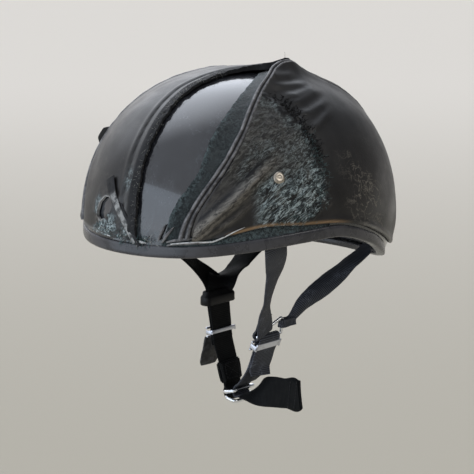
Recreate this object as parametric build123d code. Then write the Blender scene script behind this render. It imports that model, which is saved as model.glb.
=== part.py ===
from build123d import *
from functools import lru_cache
import math
import os

# Half-shell riding helmet with a crash-damaged leather cover, a riveted Y-strap harness and
# a double D-ring chin strap.  Millimetres.  +Z is up, -Y is the front, +X the wearer's left.
# The origin is the centre of the head opening, at the height where the dome is widest.

# ---------------------------------------------------------------- driving dimensions
HALF_WIDTH = 114.0       # leather surface, half the width
HALF_FRONT = 146.0       # leather surface, origin to the forehead
HALF_BACK = 134.0        # leather surface, origin to the back
CROWN = 119.0            # leather surface, origin to the crown
TUCK = 97.0              # radius that tucks the dome in below its widest level
SQUARENESS = 0.4         # exponent of the crown's profile: 0.5 would be an ellipse
FLOOR = -56.0            # the domes are closed here, below every edge
PROFILE_ANGLES = (0, 10, 20, 30, 40, 50, 60, 70, 76, 81, 85, 88)

LEATHER = 1.6
COVER_GAP = 0.2
SHELL = 3.5
WEB_WIDTH = 25.0         # 1 inch webbing
WEB = 1.6
WIRE = 1.5               # radius of the D-ring wire
RING_WIRE = 1.4          # radius of the triangular ring's wire
RIVET_HEAD = 4.75        # radius
RIVET_SEAT = 0.25        # the head's flat underside above the leather
RIVET_RIM = 0.4
RIVET_DOME = 1.6
SHANK = 2.45             # radius
HOLE = 2.55              # radius of each rivet hole
WELT = 6.4               # width of the seam welts

SHELL_OUT = -(LEATHER + COVER_GAP)
SHELL_IN = SHELL_OUT - SHELL
OUTER = (HALF_WIDTH, HALF_FRONT, HALF_BACK, CROWN)
FOAM_INSIDE = (85.0, 108.0, 100.0, 90.0)
HEAD = (78.0, 101.0, 94.0, 84.0)
FULL = 220.0             # larger than the helmet, for cutting blocks

# Side profiles (y, z) of the rim and of the leather's lower edge, front to back
RIM = ((-160, -9.5), (-130, -9), (-95, -5.5), (-50, -1.5), (-12, -1.5), (24, -12),
       (80, -36), (118, -44.5), (150, -46))
LEATHER_EDGE = ((-160, 1.5), (-133, 4), (-104, 9), (-84, 13.5), (-50, 12.5), (-15, 10),
                (14, 3.5), (43, -8), (80, -24), (118, -33), (150, -35))
TRIM_HEIGHT = 9.5
TRIM_LIP = 6.0           # height of the lip inside the shell
TRIM_WEB = 1.75

# Plan outlines (x, y): the left seam, front to back, and the tear that opens the centre panel
SEAM = ((24, -165), (44, -140), (58, -120), (66, -100), (67, -78), (59, -56), (46.5, -25),
        (38, 2), (43, 32), (46, 60), (40, 130), (36, 160))
TEAR = ((24, -160), (16, -143), (8, -133), (5, -110), (4, -65), (-4, -24), (-5, -2), (6, 11),
        (35, 15), (70, 17))
FELT_EDGE = ((30, -165), (43, -135), (55, -113), (52, -95), (49, -75), (40, -44), (15, 4),
             (10, 14))
TEAR_END = 10.0          # y, where the tear ends behind the crown

# Rivets and the straps that they hold: angle round the dome from +X, and height
FRONT_RIVET = (-28.4, 49.0)
LEFT_REAR_RIVET = (60.0, 10.0)
RIGHT_REAR_RIVET = (127.0, 12.0)
HANGER_OUT = -7.0        # the strap's upper end lies this far inside the leather surface

# Harness
MID_Y = -4.0             # middle of the webbing
PIVOT = (-4.0, -100.0)   # (y, z) of the line about which the chin loop swings
RING_FRONT = (28.0, -24.0, -98.5)
RING_REAR = (28.0, 12.5, -98.5)
RING_TOP = (30.0, 12.0, -84.0)
RING_BEND = 1.8
DIVIDER = (-28.0, MID_Y, -69.0)
SLIDE = (-24.5, MID_Y, -101.5)
BAR_A = (-12.0, -151.5)  # (x, z) of each D-ring's straight bar and curved bar
CURVE_A = (0.0, -148.0)
BAR_B = (-10.0, -155.3)
CURVE_B = (1.2, -157.0)
TAIL_ROOT = (2.4, -152.4)
FRONT_EXIT = -2.2        # z where each strap leaves the rim
LEFT_REAR_EXIT = -41.0
RIGHT_REAR_EXIT = -39.3
FRONT_EYE = (0.67, 14.0)  # place along its side of the ring, and length, of each sewn eye
REAR_EYE = (0.36, 6.5)
LEFT_DRUM = 27.0         # radius about the swing line kept for what swings, each side
RIGHT_DRUM = 18.5
DRUM_GAP = 0.6
PLY = 0.95               # half the distance between the two plies of a doubled strap
RIGHT_NORMAL = Vector(-0.706, 0.0, -0.708)
SPREAD = 0.35            # how far up the right straps have spread clear of each other
LEFT_RUN = [(27.6, -100.5), (17.0, -126.5)]   # (x, z), the straight stretch at the adjuster


# ---------------------------------------------------------------- shaping helpers
def grown(size, amount):
    return tuple(value + amount for value in size)


def ring_factor(z, crown):
    if z >= 0:
        return (1 - (z / crown) ** 2) ** SQUARENESS
    return math.sqrt(1 - (z / TUCK) ** 2)


@lru_cache(maxsize=None)
def half_dome(width, length, crown):
    """Half of the solid dome, on the +Y side."""
    points = [(width * ring_factor(z, crown), z) for z in (FLOOR, FLOOR / 2)]
    for angle in PROFILE_ANGLES:
        z = crown * math.sin(math.radians(angle))
        points.append((width * ring_factor(z, crown), z))
    points.append((0.0, crown))
    foot = (points[0][0], FLOOR)
    lean = -FLOOR * width / (TUCK ** 2 * ring_factor(FLOOR, crown))
    curve = Spline(*points, tangents=[(lean, 1), (-1, 0)])
    outline = [Line((0, FLOOR), foot), curve, Line((0, crown), (0, FLOOR))]
    face = Plane.XZ * make_face(outline)
    turned = revolve(face, axis=Axis.Z, revolution_arc=180)
    if turned.bounding_box().max.Y < 1:
        turned = mirror(turned, about=Plane.XZ)
    return scale(turned, by=(1, length / width, 1))


@lru_cache(maxsize=None)
def dome(size):
    width, front, back, crown = size
    return half_dome(width, back, crown) + mirror(half_dome(width, front, crown), about=Plane.XZ)


@lru_cache(maxsize=None)
def layer(outside, inside):
    return dome(outside) - dome(inside)


def offset_layer(outside, inside):
    return layer(grown(OUTER, outside), grown(OUTER, inside))


@lru_cache(maxsize=None)
def above(profile, lift=0.0):
    """Everything above a side profile."""
    points = [(y, z + lift) for y, z in profile]
    start, end = points[0], points[-1]
    outline = [Spline(*points), Polyline(end, (end[0], FULL), (start[0], FULL), start)]
    return extrude(Plane.YZ * make_face(outline), amount=FULL, both=True)


@lru_cache(maxsize=None)
def plan_block(edge, side_x, shift=0.0):
    """Everything between a plan outline and the line x = side_x."""
    points = [(x + shift, y) for x, y in edge]
    start, end = points[0], points[-1]
    outline = [Spline(*points), Polyline(end, (side_x, end[1]), (side_x, start[1]), start)]
    return extrude(Pos(0, 0, FLOOR - 5) * make_face(outline), amount=FULL)


def dome_point(angle, z):
    turn = math.radians(angle)
    length = HALF_FRONT if math.sin(turn) < 0 else HALF_BACK
    factor = ring_factor(z, CROWN)
    return Vector(HALF_WIDTH * factor * math.cos(turn), length * factor * math.sin(turn), z)


def dome_normal(angle, z):
    point = dome_point(angle, z)
    length = HALF_FRONT if point.Y < 0 else HALF_BACK
    inner = 1 - (z / CROWN) ** 2
    rise = 2 * SQUARENESS * inner ** (2 * SQUARENESS - 1) * 2 * z / CROWN ** 2
    return Vector(2 * point.X / HALF_WIDTH ** 2, 2 * point.Y / length ** 2, rise).normalized()


def rivet_plane(rivet):
    return Plane(origin=dome_point(*rivet), z_dir=dome_normal(*rivet))


def mirrored(rivet):
    return (180 - rivet[0], rivet[1])


RIVETS = {
    "left_front": FRONT_RIVET,
    "right_front": mirrored(FRONT_RIVET),
    "left_rear": LEFT_REAR_RIVET,
    "right_rear": RIGHT_REAR_RIVET,
}


def rivet_rod(rivet, radius, low, high):
    rod = Cylinder(radius, high - low, align=(Align.CENTER, Align.CENTER, Align.MIN))
    return rivet_plane(rivet) * Pos(0, 0, low) * rod


def rivet_holes(radius=HOLE):
    return [rivet_rod(rivet, radius, -14, 6) for rivet in RIVETS.values()]


# ---------------------------------------------------------------- shell, foam and cover
def outer_shell():
    shell = offset_layer(SHELL_OUT, SHELL_IN) & above(RIM, TRIM_WEB + 0.05)
    return shell - rivet_holes()


def strap_slab(rivet, width, top):
    """A vertical slab through the rim below a rivet, as wide as the strap that it holds."""
    turn = math.radians(rivet[0])
    length = HALF_FRONT if math.sin(turn) < 0 else HALF_BACK
    heading = math.degrees(math.atan2(length * math.cos(turn), -HALF_WIDTH * math.sin(turn)))
    place = dome_point(rivet[0], 0)
    slab = Box(60, width, top - FLOOR, align=(Align.CENTER, Align.CENTER, Align.MIN))
    return Pos(place.X, place.Y, FLOOR) * Rot(0, 0, heading - 90) * slab


def impact_liner():
    outside = grown(OUTER, SHELL_IN - 0.3)
    liner = layer(outside, FOAM_INSIDE) & above(RIM, TRIM_LIP + 2)
    pocket = offset_layer(-4, HANGER_OUT - WEB - 0.6)
    for rivet in RIVETS.values():
        liner -= pocket & strap_slab(rivet, WEB_WIDTH + 2, rivet[1] + 15)
        liner -= rivet_rod(rivet, 8.5, -13, -3)
    return liner


def edge_trim():
    bead = offset_layer(0.4, SHELL_IN - 1.6) & above(RIM)
    bead -= above(RIM, TRIM_HEIGHT)
    bead -= offset_layer(SHELL_OUT + 0.05, SHELL_IN - 0.05) & above(RIM, TRIM_WEB)
    return bead - (dome(grown(OUTER, SHELL_IN - 0.02)) & above(RIM, TRIM_LIP))


def cover_skin():
    return (offset_layer(0, -LEATHER) & above(LEATHER_EDGE)) - rivet_holes()


def mirrored_block(edge, side_x, shift=0.0):
    return mirror(plan_block(edge, side_x, shift), about=Plane.YZ)


def cover_panels():
    skin = cover_skin()
    half = WELT / 2 + 0.1
    left = skin & plan_block(SEAM, FULL, half)
    right = skin & mirrored_block(SEAM, FULL, half)
    centre = skin & plan_block(SEAM, -FULL, -half) & mirrored_block(SEAM, -FULL, -half)
    return left, right, centre - plan_block(TEAR, FULL)


def seam_welt(on_left):
    block = plan_block if on_left else mirrored_block
    band = block(SEAM, FULL, -WELT / 2) - block(SEAM, FULL, WELT / 2)
    return offset_layer(2.2, -LEATHER) & above(LEATHER_EDGE, 0.5) & band


def cover_backing():
    strip = plan_block(FELT_EDGE, FULL) & plan_block(SEAM, -FULL, -WELT / 2 - 0.3)
    strip &= Pos(0, TEAR_END - FULL, 0) * Box(2 * FULL, 2 * FULL, 2 * FULL)
    return offset_layer(-0.7, -LEATHER) & above(LEATHER_EDGE, 4) & strip


# ---------------------------------------------------------------- comfort pads
def pad(block):
    return (layer(grown(FOAM_INSIDE, -0.3), HEAD) & above(RIM, TRIM_LIP)) & block


def crown_pad():
    return pad(Pos(0, 0, 50) * Cylinder(46, 60, align=(Align.CENTER, Align.CENTER, Align.MIN)))


def brow_pad():
    return pad(Pos(0, -90, 12) * Box(92, 60, 38))


def side_pad(side):
    return pad(Pos(side * 80, -6, 24) * Box(50, 84, 34))


def nape_pad():
    return pad(Pos(0, 88, -8) * Box(96, 50, 44))


# ---------------------------------------------------------------- rivets
def rivet(place):
    ball = (RIVET_HEAD ** 2 + RIVET_DOME ** 2) / (2 * RIVET_DOME)
    top = RIVET_SEAT + RIVET_RIM + RIVET_DOME
    head = Pos(0, 0, top - ball) * Sphere(ball)
    head &= Pos(0, 0, RIVET_SEAT + 2) * Cylinder(RIVET_HEAD, 4)
    shank = Pos(0, 0, -4.6) * Cylinder(SHANK, 10.4)
    clench = Pos(0, 0, -9.6) * Cylinder(4.2, 1.2)
    return rivet_plane(place) * (head + shank + clench)


def rivet_washers():
    washers = []
    for place in RIVETS.values():
        disc = rivet_rod(place, 7, -6.65, -5.65) - rivet_rod(place, HOLE, -8, -4)
        washers.append(disc)
    return Compound(children=[w.solid() for w in washers])


# ---------------------------------------------------------------- webbing
def web_section(centre, across, along, thickness=WEB, width=WEB_WIDTH):
    """One cross-section of webbing, its width along `across`, facing `along`."""
    across = Vector(*across).normalized()
    along = Vector(*along)
    facing = (along - across * along.dot(across)).normalized()
    plane = Plane(origin=Vector(*centre), x_dir=across, z_dir=facing)
    return plane * Rectangle(width, thickness)


def strap_leg(stations, thickness=WEB):
    """Webbing lofted through stations of (centre, width direction, width)."""
    along = between(stations[0][0], stations[-1][0])
    sections = [web_section(c, a, along, thickness, wide) for c, a, wide in stations]
    return loft(sections, ruled=True)


def ribbon(points, low_y, high_y, thickness=WEB):
    """Webbing whose width runs along Y, following points (x, z)."""
    path = Spline(*points) if len(points) > 2 else Line(*points)
    count = 4 * (len(points) - 1)
    left, right = [], []
    for step in range(count + 1):
        at = path @ (step / count)
        way = path % (step / count)
        side = Vector(-way.Y, way.X) * (thickness / 2)
        left.append(at + side)
        right.append(at - side)
    edges = [Spline(*left), Line(left[-1], right[-1]), Spline(*right[::-1]),
             Line(right[0], left[0])]
    strip = extrude(Plane.XZ * make_face(edges), amount=low_y - high_y)
    return Pos(0, low_y - strip.bounding_box().min.Y, 0) * strip


def y_rod(centre, radius, length=WEB_WIDTH, middle=MID_Y):
    """A round bar along Y through (x, z)."""
    return Pos(centre[0], middle, centre[1]) * Rot(90, 0, 0) * Cylinder(radius, length)


def web_ribbon(points, thickness=WEB):
    return ribbon(points, MID_Y - WEB_WIDTH / 2, MID_Y + WEB_WIDTH / 2, thickness)


def between(a, b):
    return tuple(q - p for p, q in zip(a, b))


def swing_drum(radius):
    """A drum about the chin loop's swing line: what turns stays inside it."""
    return Pos(0, PIVOT[0], PIVOT[1]) * Rot(0, 90, 0) * Cylinder(radius, 200)


def hanger(place):
    """The strap's upper end, flat against the inside of the shell and held by its rivet."""
    strip = offset_layer(HANGER_OUT, HANGER_OUT - WEB)
    strip = strip & strap_slab(place, WEB_WIDTH, place[1] + 12)
    return (strip & above(RIM, -3)) - rivet_rod(place, HOLE, -14, 6)


def rim_exit(place, z):
    """Centre and width direction of a strap where it leaves the rim."""
    turn = math.radians(place[0])
    length = HALF_FRONT if math.sin(turn) < 0 else HALF_BACK
    inset = HANGER_OUT - WEB / 2
    factor = ring_factor(z, CROWN)
    centre = ((HALF_WIDTH + inset) * factor * math.cos(turn),
              (length + inset) * factor * math.sin(turn), z)
    return centre, (-HALF_WIDTH * math.sin(turn), length * math.cos(turn), 0)


def along_side(start, end, fraction):
    return tuple(p + (q - p) * fraction for p, q in zip(start, end))


def left_front_leg():
    exit_centre, exit_across = rim_exit(FRONT_RIVET, FRONT_EXIT)
    foot = along_side(RING_FRONT, RING_TOP, FRONT_EYE[0])
    across = between(RING_FRONT, RING_TOP)
    return strap_leg([(exit_centre, exit_across, WEB_WIDTH), (foot, across, FRONT_EYE[1])])


def left_rear_leg():
    exit_centre, exit_across = rim_exit(LEFT_REAR_RIVET, LEFT_REAR_EXIT)
    exit_across = tuple(-value for value in exit_across)
    foot = along_side(RING_REAR, RING_TOP, REAR_EYE[0])
    across = (0.1, 0.48, -0.87)
    return strap_leg([(exit_centre, exit_across, WEB_WIDTH), (foot, across, REAR_EYE[1])])


@lru_cache(maxsize=None)
def below_rim():
    return Pos(0, 0, -0.8) * (Box(3 * FULL, 2 * FULL, 2 * FULL) - above(RIM))


def left_strap(place, leg):
    return (leg & below_rim()) - swing_drum(LEFT_DRUM + DRUM_GAP) + hanger(place)


def ring_loop(leg, start, end, eye_place):
    """The sewn end of a strap, wrapped round one side of the triangular ring."""
    fraction, length = eye_place
    centre = along_side(start, end, fraction)
    side = Vector(*between(start, end))
    frame = Plane(origin=Vector(*centre), z_dir=side)
    eye = frame * Cylinder(RING_WIRE + 0.3 + WEB, length)
    bore = frame * Cylinder(RING_WIRE + 0.3, 60)
    return ((leg & swing_drum(LEFT_DRUM)) + eye) - bore




def right_ply(outer, thickness, width):
    """One strap on the right: from the rim to the divider and on down to the slide."""
    place = mirrored(FRONT_RIVET) if outer else RIGHT_REAR_RIVET
    exit_z = FRONT_EXIT if outer else RIGHT_REAR_EXIT
    centre, across = rim_exit(place, exit_z)
    if across[1] < 0:
        across = tuple(-value for value in across)
    shift = RIGHT_NORMAL * (PLY if outer else -PLY)
    foot = Vector(*DIVIDER) + shift
    spread = tuple(foot + (Vector(*centre) - foot) * SPREAD)
    leg = strap_leg([(centre, across, width), (spread, (0, 1, 0), width),
                     (tuple(foot), (0, 1, 0), width)], thickness)
    x = DIVIDER[0] - PLY if outer else DIVIDER[0] + PLY
    top = -69.0 if outer else -68.0
    slide_x = SLIDE[0] - PLY if outer else SLIDE[0] + PLY
    low, high = MID_Y - width / 2, MID_Y + width / 2
    run = ribbon([(x, top), (slide_x, SLIDE[2] + 3.2)], low, high, thickness)
    return leg, run


def right_strap(outer):
    place = mirrored(FRONT_RIVET) if outer else RIGHT_REAR_RIVET
    leg, run = right_ply(outer, WEB, WEB_WIDTH)
    strap = (leg & below_rim()) + (run - swing_drum(RIGHT_DRUM + DRUM_GAP))
    return strap + hanger(place)


def right_divider():
    block = fillet(Box(9, 34, 20).edges(), 2)
    block = Pos(*DIVIDER) * block
    for outer in (True, False):
        for piece in right_ply(outer, WEB + 0.7, WEB_WIDTH + 1):
            block -= piece
    throat = Pos(DIVIDER[0], MID_Y, DIVIDER[2]) * Box(4.6, WEB_WIDTH + 1.4, 30)
    return block - throat


# ---------------------------------------------------------------- rings, slides, chin straps
def swept_ring(corners, radius, wire):
    """A closed wire ring through corners, each rounded to `radius`."""
    points = [Vector(*corner) for corner in corners]
    path = FilletPolyline(*points, radius=radius, close=True)
    start = path @ 0.0
    section = Plane(origin=start, z_dir=path % 0.0) * Circle(wire)
    return sweep(section, path=path)


def left_triangle_ring():
    return swept_ring([RING_FRONT, RING_REAR, RING_TOP], RING_BEND, RING_WIRE)


def d_ring(bar, curve):
    """A D-ring: its straight bar along Y at (x, z) `bar`, its bowed bar at `curve`."""
    half = WEB_WIDTH / 2 + 1 + WIRE
    corners = [(bar[0], MID_Y - half, bar[1]), (bar[0], MID_Y + half, bar[1]),
               (curve[0], MID_Y + half, curve[1]), (curve[0], MID_Y - half, curve[1])]
    return swept_ring(corners, 3.2, WIRE)


def run_frame(run):
    """A plane at the top of a straight run (x, z): X across the webbing, Y its normal."""
    top, foot = Vector(run[0][0], MID_Y, run[0][1]), Vector(run[1][0], MID_Y, run[1][1])
    return Plane(origin=top, x_dir=(0, 1, 0), z_dir=(top - foot))


def three_bar_slide(gap):
    """A pressed slide: two outer bars in front of the webbing, one bar behind it."""
    height, width, bar = 9.0, WEB_WIDTH + 6.5, 1.8
    side_y = WEB_WIDTH / 2 + 0.75
    frame = []
    for z in (-height / 2 + bar / 2, height / 2 - bar / 2):
        frame.append(Pos(0, -gap / 2 - bar / 2, z) * Box(width, bar, bar))
    frame.append(Pos(0, gap / 2 + bar / 2, 0) * Box(width, bar, bar))
    rail = width / 2 - side_y
    for side in (-1, 1):
        x = side * (side_y + rail / 2)
        frame.append(Pos(x, 0, 0) * Box(rail, gap + 2 * bar, height))
    slide = frame[0]
    for piece in frame[1:]:
        slide += piece
    return slide


def left_adjuster():
    return run_frame(LEFT_RUN) * Pos(0, 0, -5.2) * three_bar_slide(2 * WEB + 1.1)


def right_slide():
    run = [(DIVIDER[0], -69.0), (SLIDE[0], SLIDE[2])]
    return run_frame(run) * Pos(0, 0, -(32.7 + 0.4)) * three_bar_slide(2 * WEB + 1.1)


def shifted(points, amount):
    """A straight run moved sideways by `amount`, towards +X."""
    (x0, z0), (x1, z1) = points
    length = math.hypot(x1 - x0, z1 - z0)
    dx, dz = -(z1 - z0) / length * amount, (x1 - x0) / length * amount
    return [(x0 + dx, z0 + dz), (x1 + dx, z1 + dz)]


def left_chin_strap():
    """Doubled at the adjuster, looped round the ring's base and hooked into the D-rings."""
    inner = shifted(LEFT_RUN, -WEB / 2 - 0.05)
    outer = shifted(LEFT_RUN, WEB / 2 + 0.05)
    bottom = inner[1]
    lower = [bottom, (10.2, -136.5), (-1.7, -145.1), (-3.9, -148.0), (-4.6, -150.8)]
    strap = web_ribbon(inner) + web_ribbon(outer) + web_ribbon(lower)
    bar = (RING_FRONT[0], RING_FRONT[2])
    strap += y_rod(bar, RING_WIRE + 0.3 + WEB, WEB_WIDTH - 1)
    bore = y_rod(bar, RING_WIRE + 0.3, 60)
    side_gap = swept_ring([RING_FRONT, RING_REAR, RING_TOP], RING_BEND + 0.4, RING_WIRE + 0.35)
    return (strap - bore) - side_gap


def right_strap_loop():
    """Both plies of the right strap, from the swing line's drum down into the slide."""
    plies = [right_ply(outer, WEB, WEB_WIDTH)[1] for outer in (True, False)]
    loops = [(ply & swing_drum(RIGHT_DRUM)).solid() for ply in plies]
    return Compound(children=loops)


BLOCK_TOP = (-17.9, -126.5)
BLOCK_FOOT = (-14.2, -144.5)


def right_chin_strap():
    """From the slide down to the loop that holds both D-rings."""
    strap = web_ribbon([(SLIDE[0] + 0.2, SLIDE[2] + 1.2), (-21.8, -112.0), BLOCK_TOP,
                        BLOCK_FOOT, (-13.0, -149.0)])
    loop = y_rod(BAR_A, WIRE + 0.4 + WEB) + y_rod(BAR_B, WIRE + 0.4 + WEB)
    loop += web_ribbon([BAR_A, BAR_B], 2 * (WIRE + 0.4 + WEB))
    slot = y_rod(BAR_A, WIRE + 0.4, 60) + y_rod(BAR_B, WIRE + 0.4, 60)
    slot += ribbon([BAR_A, BAR_B], MID_Y - 30, MID_Y + 30, 2 * (WIRE + 0.4))
    return (strap + loop) - slot


def right_sewn_block():
    """The thick stitched stack where the right chin strap is folded over itself."""
    stack = web_ribbon([BLOCK_TOP, BLOCK_FOOT], 6.4)
    clearance = ribbon([(SLIDE[0] + 0.2, SLIDE[2] + 1.2), (-21.8, -112.0), BLOCK_TOP,
                        BLOCK_FOOT, (-13.0, -149.0)], MID_Y - 30, MID_Y + 30, WEB + 0.06)
    return Compound(children=(stack - clearance).solids())


def chin_strap_tail():
    """The loose end: it leaves the D-rings flat and twists on edge."""
    x, z = TAIL_ROOT
    stations = [((x, MID_Y, z), (0, 1, 0), WEB_WIDTH),
                ((x + 10, MID_Y, z + 3.4), (0, 1, 0.35), WEB_WIDTH),
                ((x + 20, MID_Y, z + 6.2), (0, 1, 1), WEB_WIDTH),
                ((x + 32, MID_Y - 0.5, z + 8.6), (0, 0.3, 1), WEB_WIDTH),
                ((60, MID_Y - 1.5, -140.0), (0.12, 0.0, 1), WEB_WIDTH)]
    hem = web_section((52, MID_Y - 1.2, -142.0), (0.12, 0.0, 1), (1, 0, 0.1), 3.4, 24.6)
    hem_end = web_section((62, MID_Y - 1.5, -139.6), (0.12, 0.0, 1), (1, 0, 0.1), 3.4, 24.6)
    return strap_leg(stations) + loft([hem, hem_end])


FLAP_HINGE = (-28.6, -106.4)


def snap_flap():
    x, z = FLAP_HINGE
    return ribbon([(x, z), (x - 2.2, z - 11), (x - 5.6, z - 22)], -19, 2, 1.4)


def snap_socket():
    x, z = FLAP_HINGE
    centre = Plane(origin=(x - 4.6, -9.0, z - 17.0), z_dir=(-1, 0, 0.3))
    return centre * Pos(0, 0, 2.0) * (Cylinder(5.2, 1.6) + Pos(0, 0, 1.2) * Cylinder(3.2, 0.9))


# ---------------------------------------------------------------- assembly
def parts():
    left_panel, right_panel, centre_panel = cover_panels()
    pieces = {
        "outer_shell": outer_shell(),
        "impact_liner": impact_liner(),
        "edge_trim": edge_trim(),
        "left_cover_panel": left_panel,
        "right_cover_panel": right_panel,
        "centre_cover_panel": centre_panel,
        "left_seam_welt": seam_welt(True),
        "right_seam_welt": seam_welt(False),
        "cover_backing": cover_backing(),
        "crown_pad": crown_pad(),
        "brow_pad": brow_pad(),
        "left_side_pad": side_pad(1),
        "right_side_pad": side_pad(-1),
        "nape_pad": nape_pad(),
        "rivet_washers": rivet_washers(),
        "left_front_strap": left_strap(FRONT_RIVET, left_front_leg()),
        "left_rear_strap": left_strap(LEFT_REAR_RIVET, left_rear_leg()),
        "right_front_strap": right_strap(True),
        "right_rear_strap": right_strap(False),
        "right_divider": right_divider(),
        "left_triangle_ring": left_triangle_ring(),
        "left_front_strap_loop": ring_loop(left_front_leg(), RING_FRONT, RING_TOP, FRONT_EYE),
        "left_rear_strap_loop": ring_loop(left_rear_leg(), RING_REAR, RING_TOP, REAR_EYE),
        "left_adjuster": left_adjuster(),
        "left_chin_strap": left_chin_strap(),
        "right_slide": right_slide(),
        "right_strap_loop": right_strap_loop(),
        "right_chin_strap": right_chin_strap(),
        "right_sewn_block": right_sewn_block(),
        "upper_d_ring": d_ring(BAR_A, CURVE_A),
        "lower_d_ring": d_ring(BAR_B, CURVE_B),
        "chin_strap_tail": chin_strap_tail(),
        "snap_flap": snap_flap(),
        "snap_socket": snap_socket(),
    }
    for name, place in RIVETS.items():
        pieces[name + "_rivet"] = rivet(place)
    return pieces


os.makedirs("parts", exist_ok=True)
for name, shape in parts().items():
    export_step(shape, f"parts/{name}.step")
    print(name, len(shape.solids()), round(shape.volume / 1000, 2), "cm3")
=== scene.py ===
import math

import bmesh
import bpy
import numpy as np
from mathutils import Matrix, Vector


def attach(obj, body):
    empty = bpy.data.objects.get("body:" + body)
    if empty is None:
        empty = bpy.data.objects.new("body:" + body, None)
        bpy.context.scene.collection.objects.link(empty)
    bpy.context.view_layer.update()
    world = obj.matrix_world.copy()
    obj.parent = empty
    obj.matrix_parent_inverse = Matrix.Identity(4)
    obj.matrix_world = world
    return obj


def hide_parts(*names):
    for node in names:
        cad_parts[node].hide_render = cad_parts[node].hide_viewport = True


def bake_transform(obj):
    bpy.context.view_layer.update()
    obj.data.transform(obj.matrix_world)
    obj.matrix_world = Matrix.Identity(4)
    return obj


# Half-shell riding helmet with a torn leather cover.  Shapes are worked out in millimetres in
# the part's frame (+Z up, -Y the forehead, +X the wearer's left) and written in metres.
# Profiles and tables of points are in millimetres unless their comment says otherwise.

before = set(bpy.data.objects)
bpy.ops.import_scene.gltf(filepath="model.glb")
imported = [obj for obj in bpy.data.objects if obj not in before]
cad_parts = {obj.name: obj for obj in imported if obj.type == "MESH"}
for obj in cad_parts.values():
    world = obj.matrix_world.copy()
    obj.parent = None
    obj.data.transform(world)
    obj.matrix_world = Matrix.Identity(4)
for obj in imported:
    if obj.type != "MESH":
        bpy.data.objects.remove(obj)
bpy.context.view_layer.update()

MM = 0.001
HALF_WIDTH, HALF_FRONT, HALF_BACK, CROWN = 114.0, 146.0, 134.0, 119.0
OUTER = (HALF_WIDTH, HALF_FRONT, HALF_BACK, CROWN)      # the leather's surface
FOAM_INSIDE = (85.0, 108.0, 100.0, 90.0)
HEAD = (78.0, 101.0, 94.0, 84.0)        # inside faces of the comfort pads
TUCK = 97.0             # how steeply the dome draws in below its widest level
SQUARENESS = 0.4        # 0.5 is an ellipsoid, less is squarer
LEATHER = 1.6
SHELL_OUT = -1.8        # heights here are from the leather's surface, outwards
SHELL_THICK = 3.5
SEAM_HALF = 2.6         # from a seam's middle to the edge of each panel
WEB_WIDTH, WEB = 25.0, 1.6
MID_Y = -4.0            # the chin straps' middle plane

# The dome's edges and seams, as (y, height z) or (y, distance x from the middle)
RIM = ((-160, -9.5), (-130, -9), (-95, -5.5), (-50, -1.5), (-12, -1.5), (24, -12),
       (80, -36), (118, -44.5), (150, -46))
LEATHER_EDGE = ((-160, 1.5), (-133, 4), (-104, 9), (-84, 13.5), (-50, 12.5), (-15, 10),
                (14, 3.5), (43, -8), (80, -24), (118, -33), (150, -35))
SEAM = ((-165, 22), (-150, 35), (-140, 45), (-120, 60), (-100, 67.5), (-78, 67), (-56, 59),
        (-41, 52.5), (-25, 46.5), (-12, 40.5), (2, 38), (14, 39), (32, 43), (60, 46),
        (130, 40), (160, 36))
TEAR = ((-160, 27), (-146, 22), (-136, 17), (-125, 14.5), (-110, 12), (-92, 9.5), (-71, 7.5),
        (-43, 8.5), (-25, 10), (0, 12))
TEAR_TOP = ((2, -60), (11, -24), (14, -14), (19, -7), (26, -2), (37, 2), (70, 4))  # (x, y)
FELT_EDGE = ((-165, 30), (-135, 43), (-113, 55), (-95, 52), (-75, 49), (-50, 42), (-33, 35),
             (-16, 26), (0, 18), (14, 12))
# Each rivet's direction round the dome, in degrees from +X towards +Y, and its height
RIVETS = {"left_front": (-28.4, 49.0), "right_front": (208.4, 49.0),
          "left_rear": (60.0, 10.0), "right_rear": (127.0, 12.0)}


# ------------------------------------------------------------------ camera and lights
VIEW_AZIMUTH, VIEW_ELEVATION = 43.0, 12.0       # degrees
VIEW_DISTANCE = 1.5
VIEW_SHIFT = (-0.00707, -0.0194)     # where the frame's middle lies from the origin, metres
FRAME_WIDTH = 0.3873                 # metres across the frame at the origin
SENSOR = 36.0


def view_axes():
    azimuth, elevation = math.radians(VIEW_AZIMUTH), math.radians(VIEW_ELEVATION)
    back = Vector((math.sin(azimuth) * math.cos(elevation),
                   -math.cos(azimuth) * math.cos(elevation), math.sin(elevation)))
    right = Vector((math.cos(azimuth), math.sin(azimuth), 0.0))
    return back, right, back.cross(right)


def add_camera():
    back, right, up = view_axes()
    data = bpy.data.cameras.new("camera")
    data.sensor_width = SENSOR
    data.lens = SENSOR * VIEW_DISTANCE / FRAME_WIDTH
    data.dof.use_dof = False
    camera = bpy.data.objects.new("camera", data)
    bpy.context.scene.collection.objects.link(camera)
    camera.location = back * VIEW_DISTANCE + right * VIEW_SHIFT[0] + up * VIEW_SHIFT[1]
    camera.rotation_euler = back.to_track_quat("Z", "Y").to_euler()
    bpy.context.scene.camera = camera


def add_area(name, place, size, power, colour):
    data = bpy.data.lights.new(name, "AREA")
    data.shape = "RECTANGLE"
    data.size, data.size_y = size
    data.energy = power
    data.color = colour
    light = bpy.data.objects.new(name, data)
    bpy.context.scene.collection.objects.link(light)
    light.location = place
    light.rotation_euler = Vector(place).to_track_quat("Z", "Y").to_euler()


# ------------------------------------------------------------------ arrays and noise
def unit(vectors):
    length = np.linalg.norm(vectors, axis=-1, keepdims=True)
    return vectors / np.maximum(length, 1e-9)


def smooth(value, low, high):
    """0 below low, 1 above high, smooth between; low may be the larger."""
    x = np.clip((value - low) / (high - low), 0, 1)
    return x * x * (3 - 2 * x)


def bump(value, width):
    return np.exp(-(value / width) ** 2)


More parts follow.
